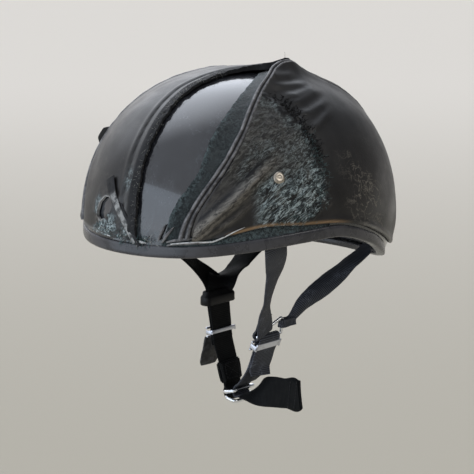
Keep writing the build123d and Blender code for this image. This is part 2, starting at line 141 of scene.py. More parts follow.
def lattice(cell, seed):
    n = cell[..., 0] * 73856093 ^ cell[..., 1] * 19349663 ^ cell[..., 2] * 83492791
    n = (n ^ seed * 40503) & 0x7FFFFFFF
    n = (n ^ n >> 13) * 1274126177 & 0x7FFFFFFF
    return (n >> 8 & 0xFFFF) / 32768.0 - 1


def noise(points, size, seed=1):
    """Smooth value noise in -1..1, with features about `size` mm across."""
    turned = points @ np.array([[0.8, 0.6, 0.0], [-0.36, 0.48, 0.8], [0.48, -0.64, 0.6]])
    scaled = turned / size + 57.3
    cell = np.floor(scaled).astype(np.int64)
    part = scaled - cell
    blend = part * part * part * (part * (part * 6 - 15) + 10)
    total = 0.0
    for corner in range(8):
        step = np.array([corner & 1, corner >> 1 & 1, corner >> 2 & 1])
        weight = np.where(step == 1, blend, 1 - blend).prod(axis=-1)
        total += weight * lattice(cell + step, seed)
    return total


def layered(points, size, octaves, seed=1):
    total, gain = 0.0, 1.0
    for octave in range(octaves):
        total += gain * noise(points, size / 2 ** octave, seed + 7 * octave)
        gain *= 0.5
    return total / 1.6


def along_curve(pairs, value):
    """A smooth curve through (position, value) pairs, read at `value`."""
    xs, ys = np.array(pairs, float).T
    slopes = np.gradient(ys, xs)
    place = np.clip(np.searchsorted(xs, value) - 1, 0, len(xs) - 2)
    width = xs[place + 1] - xs[place]
    t = np.clip((value - xs[place]) / width, 0, 1)
    a = (1 + 2 * t) * (1 - t) ** 2
    b = t * (1 - t) ** 2
    c = t * t * (3 - 2 * t)
    d = t * t * (t - 1)
    return a * ys[place] + b * width * slopes[place] + c * ys[place + 1] \
        + d * width * slopes[place + 1]


def smooth_path(points, count):
    """Points evenly spaced along a smooth curve through a few points."""
    points = np.array(points, float)
    chord = np.r_[0, np.cumsum(np.linalg.norm(np.diff(points[:, :3], axis=0), axis=1))]
    fine = np.linspace(0, chord[-1], count * 4)
    columns = [along_curve(np.c_[chord, column], fine) for column in points.T]
    dense = np.stack(columns, axis=1)
    run = np.r_[0, np.cumsum(np.linalg.norm(np.diff(dense[:, :3], axis=0), axis=1))]
    even = np.linspace(0, run[-1], count)
    return np.stack([np.interp(even, run, column) for column in dense.T], axis=1)


def line_distance(points, line):
    """Distance from each point to a polyline, and how far along it the nearest point is."""
    line = np.array(line, float)
    lengths = np.linalg.norm(np.diff(line, axis=0), axis=1)
    starts = np.r_[0, np.cumsum(lengths)]
    best = np.full(len(points), 1e9)
    place = np.zeros(len(points))
    for i, length in enumerate(lengths):
        way = (line[i + 1] - line[i]) / length
        t = np.clip((points - line[i]) @ way, 0, length)
        gap = np.linalg.norm(points - line[i] - t[:, None] * way, axis=1)
        near = gap < best
        best[near] = gap[near]
        place[near] = (starts[i] + t[near]) / starts[-1]
    return best, place


# ------------------------------------------------------------------ the dome
def ring_factor(z, crown):
    """How wide the dome is at height z, as a share of its full width."""
    up = np.clip(1 - (np.clip(z, 0, None) / crown) ** 2, 0, 1) ** SQUARENESS
    down = np.sqrt(np.clip(1 - (np.clip(z, None, 0) / TUCK) ** 2, 0, 1))
    return np.where(z >= 0, up, down)


def half_length(y, front=HALF_FRONT, back=HALF_BACK):
    return np.where(y < 0, front, back)


def within(x, y, z, size=OUTER):
    """Whether points lie inside a dome of that size."""
    width, front, back, crown = size
    across = np.hypot(x / width, y / half_length(y, front, back))
    return (across < ring_factor(z, crown)) & (z < crown)


def furthest(fits, count, far):
    """The distance up to which fits(distance) is true, for each of count rays."""
    low, high = np.zeros(count), np.full(count, far)
    for _ in range(34):
        middle = (low + high) / 2
        inside = fits(middle)
        low = np.where(inside, middle, low)
        high = np.where(inside, high, middle)
    return low


def dome_hit(start, way, size=OUTER, far=220.0):
    """Where rays from start, going way, leave the dome."""
    reach = furthest(lambda d: within(*(start + way * d[:, None]).T, size), len(way), far)
    return start + way * reach[:, None]


def dome_normal(points):
    x, y, z = points.T
    inner = np.clip(1 - (np.clip(z, 0, None) / CROWN) ** 2, 1e-5, 1)
    rise = 2 * SQUARENESS * inner ** (2 * SQUARENESS - 1) * 2 * z / CROWN ** 2
    rise = np.where(z >= 0, rise, 2 * z / TUCK ** 2)
    return unit(np.stack([2 * x / HALF_WIDTH ** 2, 2 * y / half_length(y) ** 2, rise], axis=1))


def lift(points, height):
    """Points of the leather's surface moved out along the dome's normals."""
    return points + dome_normal(points) * np.reshape(height, (-1, 1))


def grid_triangles(rows, columns, base=0):
    index = base + np.arange(rows * columns).reshape(rows, columns)
    a, b = index[:-1, :-1].ravel(), index[1:, :-1].ravel()
    c, d = index[1:, 1:].ravel(), index[:-1, 1:].ravel()
    return np.concatenate([np.stack([a, b, c], axis=1), np.stack([a, c, d], axis=1)])


def dome_mesh(count, low=-0.55):
    """A fine triangle mesh of the leather's surface, closed over the crown."""
    angles = np.tan(np.linspace(-math.pi / 4, math.pi / 4, count + 1))
    wall = angles[angles > low]
    u, v = np.meshgrid(angles, angles, indexing="ij")
    sheets = [np.stack([u, v, np.ones_like(u)], axis=-1)]
    u, v = np.meshgrid(angles, wall, indexing="ij")
    for side in (np.ones_like(u), -np.ones_like(u)):
        sheets.append(np.stack([side, u, v], axis=-1))
        sheets.append(np.stack([u, side, v], axis=-1))
    faces, base = [], 0
    for sheet in sheets:
        faces.append(grid_triangles(*sheet.shape[:2], base))
        base += sheet.shape[0] * sheet.shape[1]
    points = unit(np.concatenate([sheet.reshape(-1, 3) for sheet in sheets]))
    faces = np.concatenate(faces)
    _, first, same = np.unique(np.round(points, 5), axis=0, return_index=True,
                               return_inverse=True)
    points, faces = points[first], same.reshape(-1)[faces]
    surface = dome_hit(np.zeros_like(points), points)
    a, b, c = (surface[faces[:, i]] for i in range(3))
    inward = (np.cross(b - a, c - a) * (a + b + c)).sum(axis=1) < 0
    faces[inward] = faces[inward][:, ::-1]
    return surface, faces


def clip(mesh, value):
    """The part of a triangle mesh where value(points) > 0, cut cleanly along value = 0."""
    points, faces = mesh
    worth = value(points)
    worth = np.where(np.abs(worth) < 1e-6, 1e-6, worth)
    inside = worth[faces] > 0
    count = inside.sum(axis=1)
    mixed = (count == 1) | (count == 2)
    cut, state = faces[mixed], inside[mixed]
    lone_in = state.sum(axis=1) == 1
    lone = np.where(lone_in, np.argmax(state, axis=1), np.argmin(state, axis=1))
    a, b, c = (cut[np.arange(len(cut)), (lone + turn) % 3] for turn in range(3))
    pairs = np.concatenate([np.stack([a, b], axis=1), np.stack([a, c], axis=1)])
    pairs.sort(axis=1)
    edges, where = np.unique(pairs, axis=0, return_inverse=True)
    where = where.reshape(-1)
    t = worth[edges[:, 0]] / (worth[edges[:, 0]] - worth[edges[:, 1]])
    fresh = points[edges[:, 0]] * (1 - t[:, None]) + points[edges[:, 1]] * t[:, None]
    ab = len(points) + where[:len(cut)]
    ac = len(points) + where[len(cut):]
    tips = np.stack([a, ab, ac], axis=1)[lone_in]
    first = np.stack([ab, b, c], axis=1)[~lone_in]
    second = np.stack([ab, c, ac], axis=1)[~lone_in]
    faces = np.concatenate([faces[count == 3], tips, first, second])
    points = np.concatenate([points, fresh])
    used, faces = np.unique(faces, return_inverse=True)
    return points[used], faces.reshape(-1, 3)


def border_edges(faces):
    """The directed edges that only one triangle has."""
    edges = np.concatenate([faces[:, [0, 1]], faces[:, [1, 2]], faces[:, [2, 0]]])
    key = np.sort(edges, axis=1)
    _, first, count = np.unique(key, axis=0, return_index=True, return_counts=True)
    return edges[first[count == 1]]


# ------------------------------------------------------------------ meshes
def new_mesh(name, points, faces, material, sharp=35.0, marks=None):
    """A Blender mesh from points in mm and a list of equal-sided face arrays."""
    faces = faces if isinstance(faces, list) else [faces]
    faces = [part for part in faces if len(part)]
    sizes = np.concatenate([np.full(len(part), part.shape[1]) for part in faces])
    corners = np.concatenate([part.ravel() for part in faces]).astype(np.int32)
    mesh = bpy.data.meshes.new(name)
    mesh.vertices.add(len(points))
    mesh.vertices.foreach_set("co", (np.asarray(points) * MM).astype(np.float32).ravel())
    mesh.loops.add(len(corners))
    mesh.loops.foreach_set("vertex_index", corners)
    mesh.polygons.add(len(sizes))
    mesh.polygons.foreach_set("loop_start", np.r_[0, np.cumsum(sizes)[:-1]].astype(np.int32))
    mesh.update(calc_edges=True)
    mesh.validate()
    mesh.polygons.foreach_set("use_smooth", np.ones(len(mesh.polygons), bool))
    mesh.set_sharp_from_angle(angle=math.radians(sharp))
    for mark, values in (marks or {}).items():
        layer = mesh.attributes.new(mark, "FLOAT", "POINT")
        layer.data.foreach_set("value", np.asarray(values, np.float32))
    mesh.materials.append(material)
    piece = bpy.data.objects.new(name, mesh)
    bpy.context.scene.collection.objects.link(piece)
    return piece


def skin_piece(name, mesh, height, thickness, material, marks=None, sharp=35.0):
    """A closed skin on the dome: its outside at `height`, `thickness` thick."""
    points, faces = mesh
    normals = dome_normal(points)
    height = np.broadcast_to(height, len(points))
    thickness = np.broadcast_to(thickness, len(points))
    outside = points + normals * height[:, None]
    inside = points + normals * (height - thickness)[:, None]
    edges = border_edges(faces)
    count = len(points)
    wall = np.stack([edges[:, 1], edges[:, 0], edges[:, 0] + count, edges[:, 1] + count], 1)
    both = {key: np.r_[value, value] for key, value in (marks or {}).items()}
    return new_mesh(name, np.concatenate([outside, inside]),
                    [faces, faces[:, ::-1] + count, wall], material, sharp, both)


def frames_along(path, normals, closed=False):
    """Unit side and up vectors for each point of a path."""
    if closed:
        way = np.roll(path, -1, axis=0) - np.roll(path, 1, axis=0)
    else:
        way = np.gradient(path, axis=0)
    way = unit(way)
    up = unit(normals - way * (normals * way).sum(axis=1, keepdims=True))
    return np.cross(way, up), up


def ring_quads(rows, columns, closed=False):
    """Quads between neighbouring rings of points; closed joins the last ring to the first."""
    index = np.arange(rows * columns).reshape(rows, columns)
    here = index if closed else index[:-1]
    ahead = np.roll(index, -1, axis=0) if closed else index[1:]
    quads = np.stack([here, np.roll(here, -1, axis=1), np.roll(ahead, -1, axis=1), ahead], -1)
    return quads.reshape(-1, 4)


def ring_ends(rows, columns):
    """The faces that close the first and the last ring."""
    index = np.arange(rows * columns).reshape(rows, columns)
    return np.stack([index[0, ::-1], index[-1]])


def repeated(faces, count, size):
    """The same faces for count pieces of size points each."""
    shift = np.arange(count)[:, None, None] * size
    return (faces[None] + shift).reshape(-1, faces.shape[1])


def swept_rings(path, side, up, profile, scale):
    """A profile of (side, up) points placed and scaled at each point of a path."""
    profile = np.array(profile, float)
    return (path[:, None] + side[:, None] * (profile[None, :, :1] * scale[:, None, :1])
            + up[:, None] * (profile[None, :, 1:] * scale[:, None, 1:]))


def sweep(name, path, normals, profile, material, closed=False, scale=None, sharp=35.0,
          frame_of=None, marks=None):
    """A closed profile swept along a path.  Marks are given for every point."""
    side, up = frame_of or frames_along(path, normals, closed)
    scale = np.ones((len(path), 2)) if scale is None else scale
    rings = swept_rings(path, side, up, profile, scale)
    rows, columns = rings.shape[:2]
    faces = [ring_quads(rows, columns, closed)]
    if not closed:
        faces.append(ring_ends(rows, columns))
    return outward_faces(new_mesh(name, rings.reshape(-1, 3), faces, material, sharp, marks))


def outward_faces(piece):
    """Turns every face of a closed mesh to look outwards."""
    shape = bmesh.new()
    shape.from_mesh(piece.data)
    bmesh.ops.recalc_face_normals(shape, faces=shape.faces)
    shape.to_mesh(piece.data)
    shape.free()
    return piece


def circle_profile(radius, count=12, squash=1.0):
    turn = np.linspace(0, 2 * math.pi, count, endpoint=False)
    return np.stack([radius * np.cos(turn), radius * squash * np.sin(turn)], axis=1)


def band_profile(width, thickness, rounding=0.5, across=10):
    """The outline of a flat band with rounded edges."""
    half = width / 2 - rounding
    top = np.linspace(-half, half, across)
    face = np.full(across, thickness / 2)
    edge, lip = width / 2, thickness * 0.22
    return np.concatenate([np.stack([top, face], axis=1), [[edge, lip], [edge, -lip]],
                           np.stack([top[::-1], -face], axis=1), [[-edge, -lip], [-edge, lip]]])


def lathe(name, profile, place, axis, material, count=40, sharp=35.0):
    """A turned piece: profile (radius, height) round an axis through place."""
    axis = unit(np.array(axis, float))
    aside = unit(np.cross(axis, [0.31, 0.2, 0.93]))
    other = np.cross(axis, aside)
    turn = np.linspace(0, 2 * math.pi, count, endpoint=False)
    spoke = np.cos(turn)[:, None] * aside + np.sin(turn)[:, None] * other
    profile = np.array(profile, float)
    rings = (np.array(place) + spoke[:, None] * profile[None, :, :1]
             + axis * profile[None, :, 1:])
    rows, columns = rings.shape[:2]
    index = np.arange(rows * columns).reshape(rows, columns)
    after = np.roll(index, -1, axis=0)
    quads = np.stack([index[:, :-1], after[:, :-1], after[:, 1:], index[:, 1:]], -1)
    faces = [quads.reshape(-1, 4), index[:, 0][None], index[::-1, -1][None]]
    return outward_faces(new_mesh(name, rings.reshape(-1, 3), faces, material, sharp))


def show(piece, body, slot, *nodes):
    """Rides the piece on its body and hides the CAD nodes it stands for."""
    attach(piece, body)
    if nodes:
        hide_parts(*nodes)
    return piece


# ------------------------------------------------------------------ materials
class Nodes:
    """Builds shader nodes: sockets take either another node's output or a plain value."""

    def __init__(self, tree):
        self.nodes, self.links = tree.nodes, tree.links

    def put(self, socket, source):
        if hasattr(source, "links"):
            self.links.new(source, socket)
        else:
            socket.default_value = source

    def node(self, kind, *first, settings=(), **inputs):
        """A new node: its first inputs in order, its settings, its other inputs by name."""
        node = self.nodes.new("ShaderNode" + kind)
        for key, value in dict(settings).items():
            setattr(node, key, value)
        for socket, source in zip(node.inputs, first):
            self.put(socket, source)
        for key, source in inputs.items():
            self.put(node.inputs[key.replace("_", " ")], source)
        return node

    def math(self, what, a, b=0.5):
        return self.node("Math", a, b, settings={"operation": what}).outputs[0]

    def step(self, value, low, high, out_low=0.0, out_high=1.0, kind="SMOOTHSTEP"):
        return self.node("MapRange", value, low, high, out_low, out_high,
                         settings={"interpolation_type": kind}).outputs["Result"]


class Shader(Nodes):
    """One Principled material, built node by node."""

    def __init__(self, name, **settings):
        self.material = bpy.data.materials.new(name)
        self.material.use_nodes = True
        super().__init__(self.material.node_tree)
        self.main = self.nodes["Principled BSDF"]
        self.place = self.node("TexCoord").outputs["Object"]
        for key, value in settings.items():
            self.main.inputs[key.replace("_", " ")].default_value = value

    def scaled(self, scale):
        return self.node("Mapping", Vector=self.place, Scale=scale).outputs["Vector"]

    def noise(self, scale, detail=4.0, rough=0.6, warp=0.0, vector=None):
        return self.node("TexNoise", Vector=vector or self.place, Scale=scale, Detail=detail,
                         Roughness=rough, Distortion=warp).outputs["Fac"]

    def cells(self, scale, feature="F1"):
        return self.node("TexVoronoi", Vector=self.place, Scale=scale,
                         settings={"feature": feature}).outputs["Distance"]

    def waves(self, scale, vector=None, warp=0.0, direction="X"):
        return self.node("TexWave", Vector=vector or self.place, Scale=scale, Distortion=warp,
                         settings={"bands_direction": direction}).outputs["Fac"]

    def mark(self, name):
        return self.node("Attribute", settings={"attribute_name": name}).outputs["Fac"]

    def joined(self, x, y, z=0.0):
        return self.node("CombineXYZ", x, y, z).outputs[0]

    def mix(self, amount, first, second):
        node = self.node("Mix", amount, settings={"data_type": "RGBA"})
        for socket, colour in ((node.inputs[6], first), (node.inputs[7], second)):
            self.put(socket, colour if hasattr(colour, "links") else (*colour, 1))
        return node.outputs[2]

    def bump(self, height, strength, distance):
        """Adds a bump on top of those that are there."""
        node = self.node("Bump", Strength=strength, Distance=distance, Height=height)
        before = self.main.inputs["Normal"].links
        if before:
            self.put(node.inputs["Normal"], before[0].from_socket)
        self.put(self.main.inputs["Normal"], node.outputs["Normal"])

    def finish(self, colour, rough):
        self.put(self.main.inputs["Base Color"], colour)
        self.put(self.main.inputs["Roughness"], rough)
        return self.material


def leather_material():
    s = Shader("cover_leather", Specular_IOR_Level=0.4, Coat_Weight=0.08,
               Coat_Roughness=0.35)
    grain = s.cells(900)
    pores = s.noise(1600, 3)
    blotch = s.noise(18, 5, 0.6, 0.4)
    base = s.mix(s.step(blotch, 0.35, 0.7), (0.0075, 0.007, 0.007), (0.017, 0.0155, 0.0145))
    # fine pale scratches, low at the rear
    stretched = s.scaled((1.0, 0.6, 0.8))
    streak = s.noise(34, 5, 0.62, 1.6, stretched)
    other = s.noise(52, 4, 0.6, 2.2, stretched)
    area = s.step(s.noise(30, 4, 0.6), 0.45, 0.60)
    thin = s.step(s.math("ABSOLUTE", s.math("SUBTRACT", streak, 0.5)), 0.016, 0.004)
    cross = s.step(s.math("ABSOLUTE", s.math("SUBTRACT", other, 0.52)), 0.013, 0.003)
    line = s.math("MULTIPLY", s.math("MAXIMUM", thin, cross), area)
    line = s.math("MULTIPLY", line, s.mark("scuff"))
    base = s.mix(s.math("MULTIPLY", line, 0.8), base, (0.17, 0.155, 0.13))
    # the abraded patch: teal-grey fibres, brown skin and black gouges
    wear = s.mark("wear")
    grain_place = s.joined(s.math("MULTIPLY", s.mark("run"), 0.26), s.mark("side"),
                           s.mark("deep"))
    fibre = s.noise(0.55, 8, 0.74, 0.9, grain_place)
    tuft = s.noise(0.11, 6, 0.72, 0.8, grain_place)
    gouge = s.noise(0.20, 7, 0.75, 1.0, grain_place)
    teal = s.mix(s.step(fibre, 0.42, 0.60), (0.009, 0.012, 0.013), (0.18, 0.235, 0.245))
    skin = s.mix(s.step(fibre, 0.40, 0.64), (0.013, 0.011, 0.009), (0.080, 0.073, 0.062))
    greener = s.math("MINIMUM", s.math("MULTIPLY", s.mark("pale"), 2.2), 1.0)
    worn = s.mix(s.math("MULTIPLY", s.step(tuft, 0.34, 0.52), greener), skin, teal)
    pale = s.math("MULTIPLY", s.step(fibre, 0.49, 0.60), s.mark("pale"))
    worn = s.mix(pale, worn, (0.52, 0.60, 0.60))
    worn = s.mix(s.step(gouge, 0.54, 0.60), worn, (0.003, 0.003, 0.003))
    base = s.mix(wear, base, worn)
    # brown-grey on the folded ridges and beside the seam; its pale upper colour is also a painted
    # highlight on the ridges' tops
    brown_and_highlight = s.mix(s.step(fibre, 0.38, 0.60), (0.020, 0.017, 0.014), (0.17, 0.155, 0.13))
    base = s.mix(s.mark("brown_and_highlight"), base, brown_and_highlight)
    base = s.mix(s.mark("tan"), base, (0.24, 0.15, 0.075))
    # torn rims are black and fuzzy, with a few light fibres; the same black is painted shade in the
    # creases beside the folded ridge and in the groove beside the tear
    torn_and_crease_shade = s.mix(s.step(s.noise(700, 4, 0.7), 0.60, 0.72), (0.006, 0.006, 0.007),
                 (0.075, 0.075, 0.072))
    base = s.mix(s.mark("torn_and_crease_shade"), base, torn_and_crease_shade)
    # the 'light' mark's pale colour: a painted highlight along the rolled lower hem, and the pale
    # raw edges at the tear and round the hole
    base = s.mix(s.mark("light"), base, (0.42, 0.41, 0.39))
    rough = s.step(s.noise(40, 5), 0.3, 0.7, 0.30, 0.46)
    rough = s.math("ADD", rough, s.math("MULTIPLY", wear, 0.36))
    rough = s.math("ADD", rough, s.math("MULTIPLY", s.mark("torn_and_crease_shade"), 0.4))
    rough = s.math("ADD", rough, s.math("MULTIPLY", line, 0.25))
    s.bump(grain, 0.25, 0.0002)
    s.bump(pores, 0.12, 0.0002)
    s.bump(s.math("MULTIPLY", fibre, wear), 0.9, 0.0016)
    return s.finish(base, rough)


def mottled_material(name, pattern, limits, colours, grain, rough, dark=None, **settings):
    """Two colours in a noise pattern, bumped by a grain (scale, detail, strength, depth)."""
    s = Shader(name, **settings)
    blotch = s.noise(*pattern)
    colour = s.mix(s.step(blotch, *limits), *colours)
    # the 'dark' mark lays on a third colour: painted shade on the welt; on the hanging strip, its
    # dark upper end and its painted shadow band
    if dark:
        colour = s.mix(s.mark("dark"), colour, dark)
    scale, detail, strength, depth = grain
    s.bump(s.noise(scale, detail) if scale else blotch, strength, depth)
    return s.finish(colour, s.step(blotch, 0.3, 0.7, *rough))


def shell_material():
    s = Shader("shell_gloss", Specular_IOR_Level=0.6, Coat_Weight=0.8, Coat_Roughness=0.04)
    haze = s.noise(30, 5, 0.6, 0.6)
    hair = s.noise(500, 4, 0.6, 2.0, s.scaled((1.0, 1.0, 0.12)))
    scrape = s.math("MULTIPLY", s.step(hair, 0.56, 0.66), s.step(haze, 0.42, 0.62))
    colour = s.mix(s.step(haze, 0.35, 0.75), (0.010, 0.010, 0.012), (0.020, 0.021, 0.025))
    colour = s.mix(s.math("MULTIPLY", scrape, 0.5), colour, (0.11, 0.12, 0.13))
    dirt = s.mark("dirt")
    rub = s.noise(110, 7, 0.7, 1.2, s.scaled((1.0, 1.0, 0.3)))
    smear = s.math("MULTIPLY", dirt, s.step(rub, 0.46, 0.66))
    colour = s.mix(s.math("MULTIPLY", smear, 0.75), colour, (0.085, 0.105, 0.115))
    rough = s.math("ADD", s.step(haze, 0.3, 0.7, 0.10, 0.22), s.math("MULTIPLY", smear, 0.4))
    s.bump(s.noise(900, 3), 0.05, 0.0001)
    return s.finish(colour, rough)


def trim_material():
    s = Shader("edge_bead", Specular_IOR_Level=0.5)
    mottle = s.noise(60, 5, 0.6, 0.5)
    colour = s.mix(s.step(mottle, 0.35, 0.7), (0.030, 0.030, 0.034), (0.055, 0.054, 0.060))
    speck = s.step(s.noise(800, 3), 0.66, 0.74)
    colour = s.mix(s.math("MULTIPLY", speck, 0.4), colour, (0.2, 0.2, 0.2))
    s.bump(s.noise(1500, 2), 0.12, 0.0001)
    return s.finish(colour, s.step(mottle, 0.3, 0.7, 0.20, 0.34))


def felt_material():
    s = Shader("felt", Specular_IOR_Level=0.2, Sheen_Weight=0.35, Sheen_Roughness=0.5)
    nap = s.noise(420, 7, 0.75, 1.0)
    patch = s.noise(55, 5, 0.6, 0.8)
    colour = s.mix(s.step(nap, 0.4, 0.66), (0.006, 0.009, 0.010), (0.034, 0.043, 0.045))
    colour = s.mix(s.math("MULTIPLY", s.step(patch, 0.5, 0.75), 0.5), colour,
                   (0.050, 0.056, 0.056))
    edge = s.math("MULTIPLY", s.mark("light"), s.step(nap, 0.42, 0.6))
    colour = s.mix(s.math("MULTIPLY", edge, 0.8), colour, (0.095, 0.13, 0.135))
    s.bump(nap, 0.7, 0.0008)
    return s.finish(colour, 0.9)


def web_material(name, dark, light, wear=0.35):
    """Woven webbing: ribs across it and yarns along it, from the strap's own marks."""
    s = Shader(name, Specular_IOR_Level=0.12, Sheen_Weight=0.03, Sheen_Roughness=0.5)
    flat = s.joined(s.mark("across"), s.mark("along"))
    ribs = s.waves(0.21, flat, 0.0, "Y")
    yarns = s.waves(0.26, flat, 0.0, "X")
    weave = s.math("MULTIPLY", ribs, s.step(yarns, 0.1, 0.7, 0.55, 1.0))
    rub = s.noise(70, 6, 0.65, 0.6)
    fuzz = s.noise(900, 3)
    colour = s.mix(weave, dark, light)
    faded = tuple(channel * 2.2 + 0.02 for channel in light)
    rubbed = s.math("MULTIPLY", s.step(rub, 0.48, 0.72), s.step(fuzz, 0.4, 0.65))
    colour = s.mix(s.math("MULTIPLY", rubbed, wear), colour, faded)
    s.bump(weave, 0.5, 0.0003)
    s.bump(fuzz, 0.3, 0.0002)
    return s.finish(colour, s.step(rub, 0.3, 0.7, 0.55, 0.75))


def steel_material(name, colour, rough, stain=0.2):
    s = Shader(name, Metallic=1.0)
    mottle = s.noise(140, 5, 0.65, 0.5)
    spots = s.math("MULTIPLY", s.step(mottle, 0.52, 0.72), stain)
    tone = s.mix(spots, colour, (0.16, 0.12, 0.08))
    s.bump(s.noise(1100, 3), 0.06, 0.0001)
    return s.finish(tone, s.step(mottle, 0.3, 0.75, rough, rough + 0.16))


def foam_material():
    s = Shader("bead_foam", Specular_IOR_Level=0.3)
    beads = s.cells(330, "DISTANCE_TO_EDGE")
    colour = s.mix(s.step(beads, 0.0, 0.16), (0.016, 0.016, 0.018), (0.065, 0.065, 0.070))
    s.bump(s.step(beads, 0.0, 0.3), 0.6, 0.0006)
    return s.finish(colour, s.step(s.noise(60, 4), 0.3, 0.7, 0.72, 0.9))


def lining_material():
    s = Shader("brushed_lining", Specular_IOR_Level=0.2, Sheen_Weight=0.4,
               Sheen_Roughness=0.45)
    nap = s.noise(900, 5, 0.7, 0.4)
    knit = s.cells(1300)
    colour = s.mix(s.step(nap, 0.35, 0.7), (0.022, 0.022, 0.026), (0.070, 0.070, 0.080))
    s.bump(knit, 0.4, 0.0004)
    s.bump(nap, 0.4, 0.0004)
    return s.finish(colour, 0.92)


def flap_material():
    s = Shader("flap_leathercloth", Specular_IOR_Level=0.4)
    worn = s.noise(110, 6, 0.68, 0.8)
    colour = s.mix(s.step(worn, 0.42, 0.66), (0.018, 0.018, 0.020), (0.085, 0.085, 0.092))
    s.bump(s.cells(1200), 0.25, 0.0002)
    return s.finish(colour, s.step(worn, 0.3, 0.7, 0.42, 0.6))


def thread_material(name, colour):
    s = Shader(name, Specular_IOR_Level=0.3)
    tone = s.mix(s.noise(1500, 3), tuple(c * 0.55 for c in colour), colour)
    s.bump(s.waves(420, None, 0.5), 0.3, 0.0001)
    return s.finish(tone, 0.8)


def floor_material():
    s = Shader("floor", Specular_IOR_Level=0.1)
    x, y, _ = s.node("SeparateXYZ", s.place).outputs
    # painted light: the floor is darker near the camera and lighter far off, standing in for the
    # backdrop's falloff of light
    away = s.math("SUBTRACT", s.math("MULTIPLY", y, 0.73), s.math("MULTIPLY", x, 0.68))
    tone = s.mix(s.step(away, 2.5, 13.0), (0.47, 0.43, 0.35), (0.765, 0.705, 0.62))
    s.bump(s.noise(90, 3), 0.02, 0.0005)
    return s.finish(tone, 0.95)


LEATHER_M = leather_material()
RAW_M = mottled_material("raw_leather_edge", (300, 5, 0.7), (0.35, 0.6),
                         ((0.30, 0.30, 0.30), (0.66, 0.66, 0.65)), (None, None, 0.4, 0.0004),
                         (0.5, 0.7), Specular_IOR_Level=0.35)
# the strip's near-black third colour darkens its upper end and colours the band painted as its
# shadow
STRIP_M = mottled_material("torn_strip", (220, 6, 0.7), (0.38, 0.60),
                           ((0.03, 0.03, 0.03), (0.30, 0.30, 0.29)),
                           (None, None, 0.5, 0.0004), (0.45, 0.7), (0.004, 0.004, 0.005),
                           Specular_IOR_Level=0.35)
SHELL_M = shell_material()
TRIM_M = trim_material()
FELT_M = felt_material()
# the welt's near-black third colour is painted shade, laid on by the profile's dark marks
WELT_M = mottled_material("seam_welt", (160, 6, 0.7, 0.8), (0.36, 0.66),
                          ((0.05, 0.048, 0.05), (0.20, 0.195, 0.195)), (900, 4, 0.35, 0.0003),
                          (0.45, 0.62), (0.010, 0.010, 0.011), Specular_IOR_Level=0.4)
WEB_DARK = web_material("webbing_black", (0.0012, 0.0014, 0.0016), (0.0045, 0.0055, 0.0065), 0.06)
WEB_GREY = web_material("webbing_grey", (0.014, 0.015, 0.018), (0.085, 0.092, 0.112), 0.6)
STEEL_M = steel_material("bright_steel", (0.80, 0.82, 0.85), 0.16, 0.15)
SLIDE_M = steel_material("pressed_steel", (0.62, 0.64, 0.70), 0.26, 0.35)
RIVET_M = steel_material("rivet_metal", (0.50, 0.45, 0.38), 0.30, 0.85)
PLASTIC_M = mottled_material("moulded_plastic", (90, 5), (0.4, 0.7),
                             ((0.002, 0.002, 0.003), (0.007, 0.007, 0.008)),
                             (1800, 2, 0.2, 0.0001), (0.38, 0.52), Specular_IOR_Level=0.25)
FOAM_M = foam_material()
LINING_M = lining_material()
FLAP_M = flap_material()
THREAD_PALE = thread_material("thread_pale", (0.40, 0.40, 0.36))
THREAD_DARK = thread_material("thread_dark", (0.03, 0.03, 0.032))
THREAD_BLACK = thread_material("thread_black", (0.007, 0.007, 0.007))
THREAD_TEAL = thread_material("thread_teal", (0.10, 0.16, 0.16))


# ------------------------------------------------------------------ shell and cover
DOME = dome_mesh(150)


def above_rim(points, height=0.0):
    return points[:, 2] - along_curve(RIM, points[:, 1]) - height


def above_leather_edge(points):
    return points[:, 2] - along_curve(LEATHER_EDGE, points[:, 1])


def seam_gap(points, side):
    """How far a point lies outside the seam (+) or towards the centre panel (-)."""
    return side * points[:, 0] - along_curve(SEAM, points[:, 1])


def lip(points):
    """1 along the very edge of the leather."""
    return bump(above_leather_edge(points) - 1.2, 1.0)


def clipped(mesh, *values):
    for value in values:
        mesh = clip(mesh, value)
    return mesh


def on_dome(path):
    """A path laid on the dome from its middle, and the dome's normals there."""
    path = dome_hit(np.zeros_like(path), unit(path))
    return path, dome_normal(path)


def raised_path(line, count, height, waver, size, seed):
    """A smooth line on the dome, lifted off it by a wavering height."""
    path, normals = on_dome(smooth_path(line, count))
    return lift(path, height + waver * noise(path, size, seed)), normals


def shell_dirt(points):
    low = smooth(points[:, 2], 34, 4) * smooth(points[:, 1], -80, -110)
    near = smooth(points[:, 0] - along_curve(FELT_EDGE, points[:, 1]), -12, -2)
    return np.clip(0.8 * low + 0.35 * near, 0, 1)


def add_shell():
    mesh = clip(DOME, lambda p: above_rim(p, 1.8))
    piece = skin_piece("shell_dome", mesh, SHELL_OUT, SHELL_THICK, SHELL_M,
                       {"dirt": shell_dirt(mesh[0])})
    return show(piece, "helmet", "shell", "outer_shell")


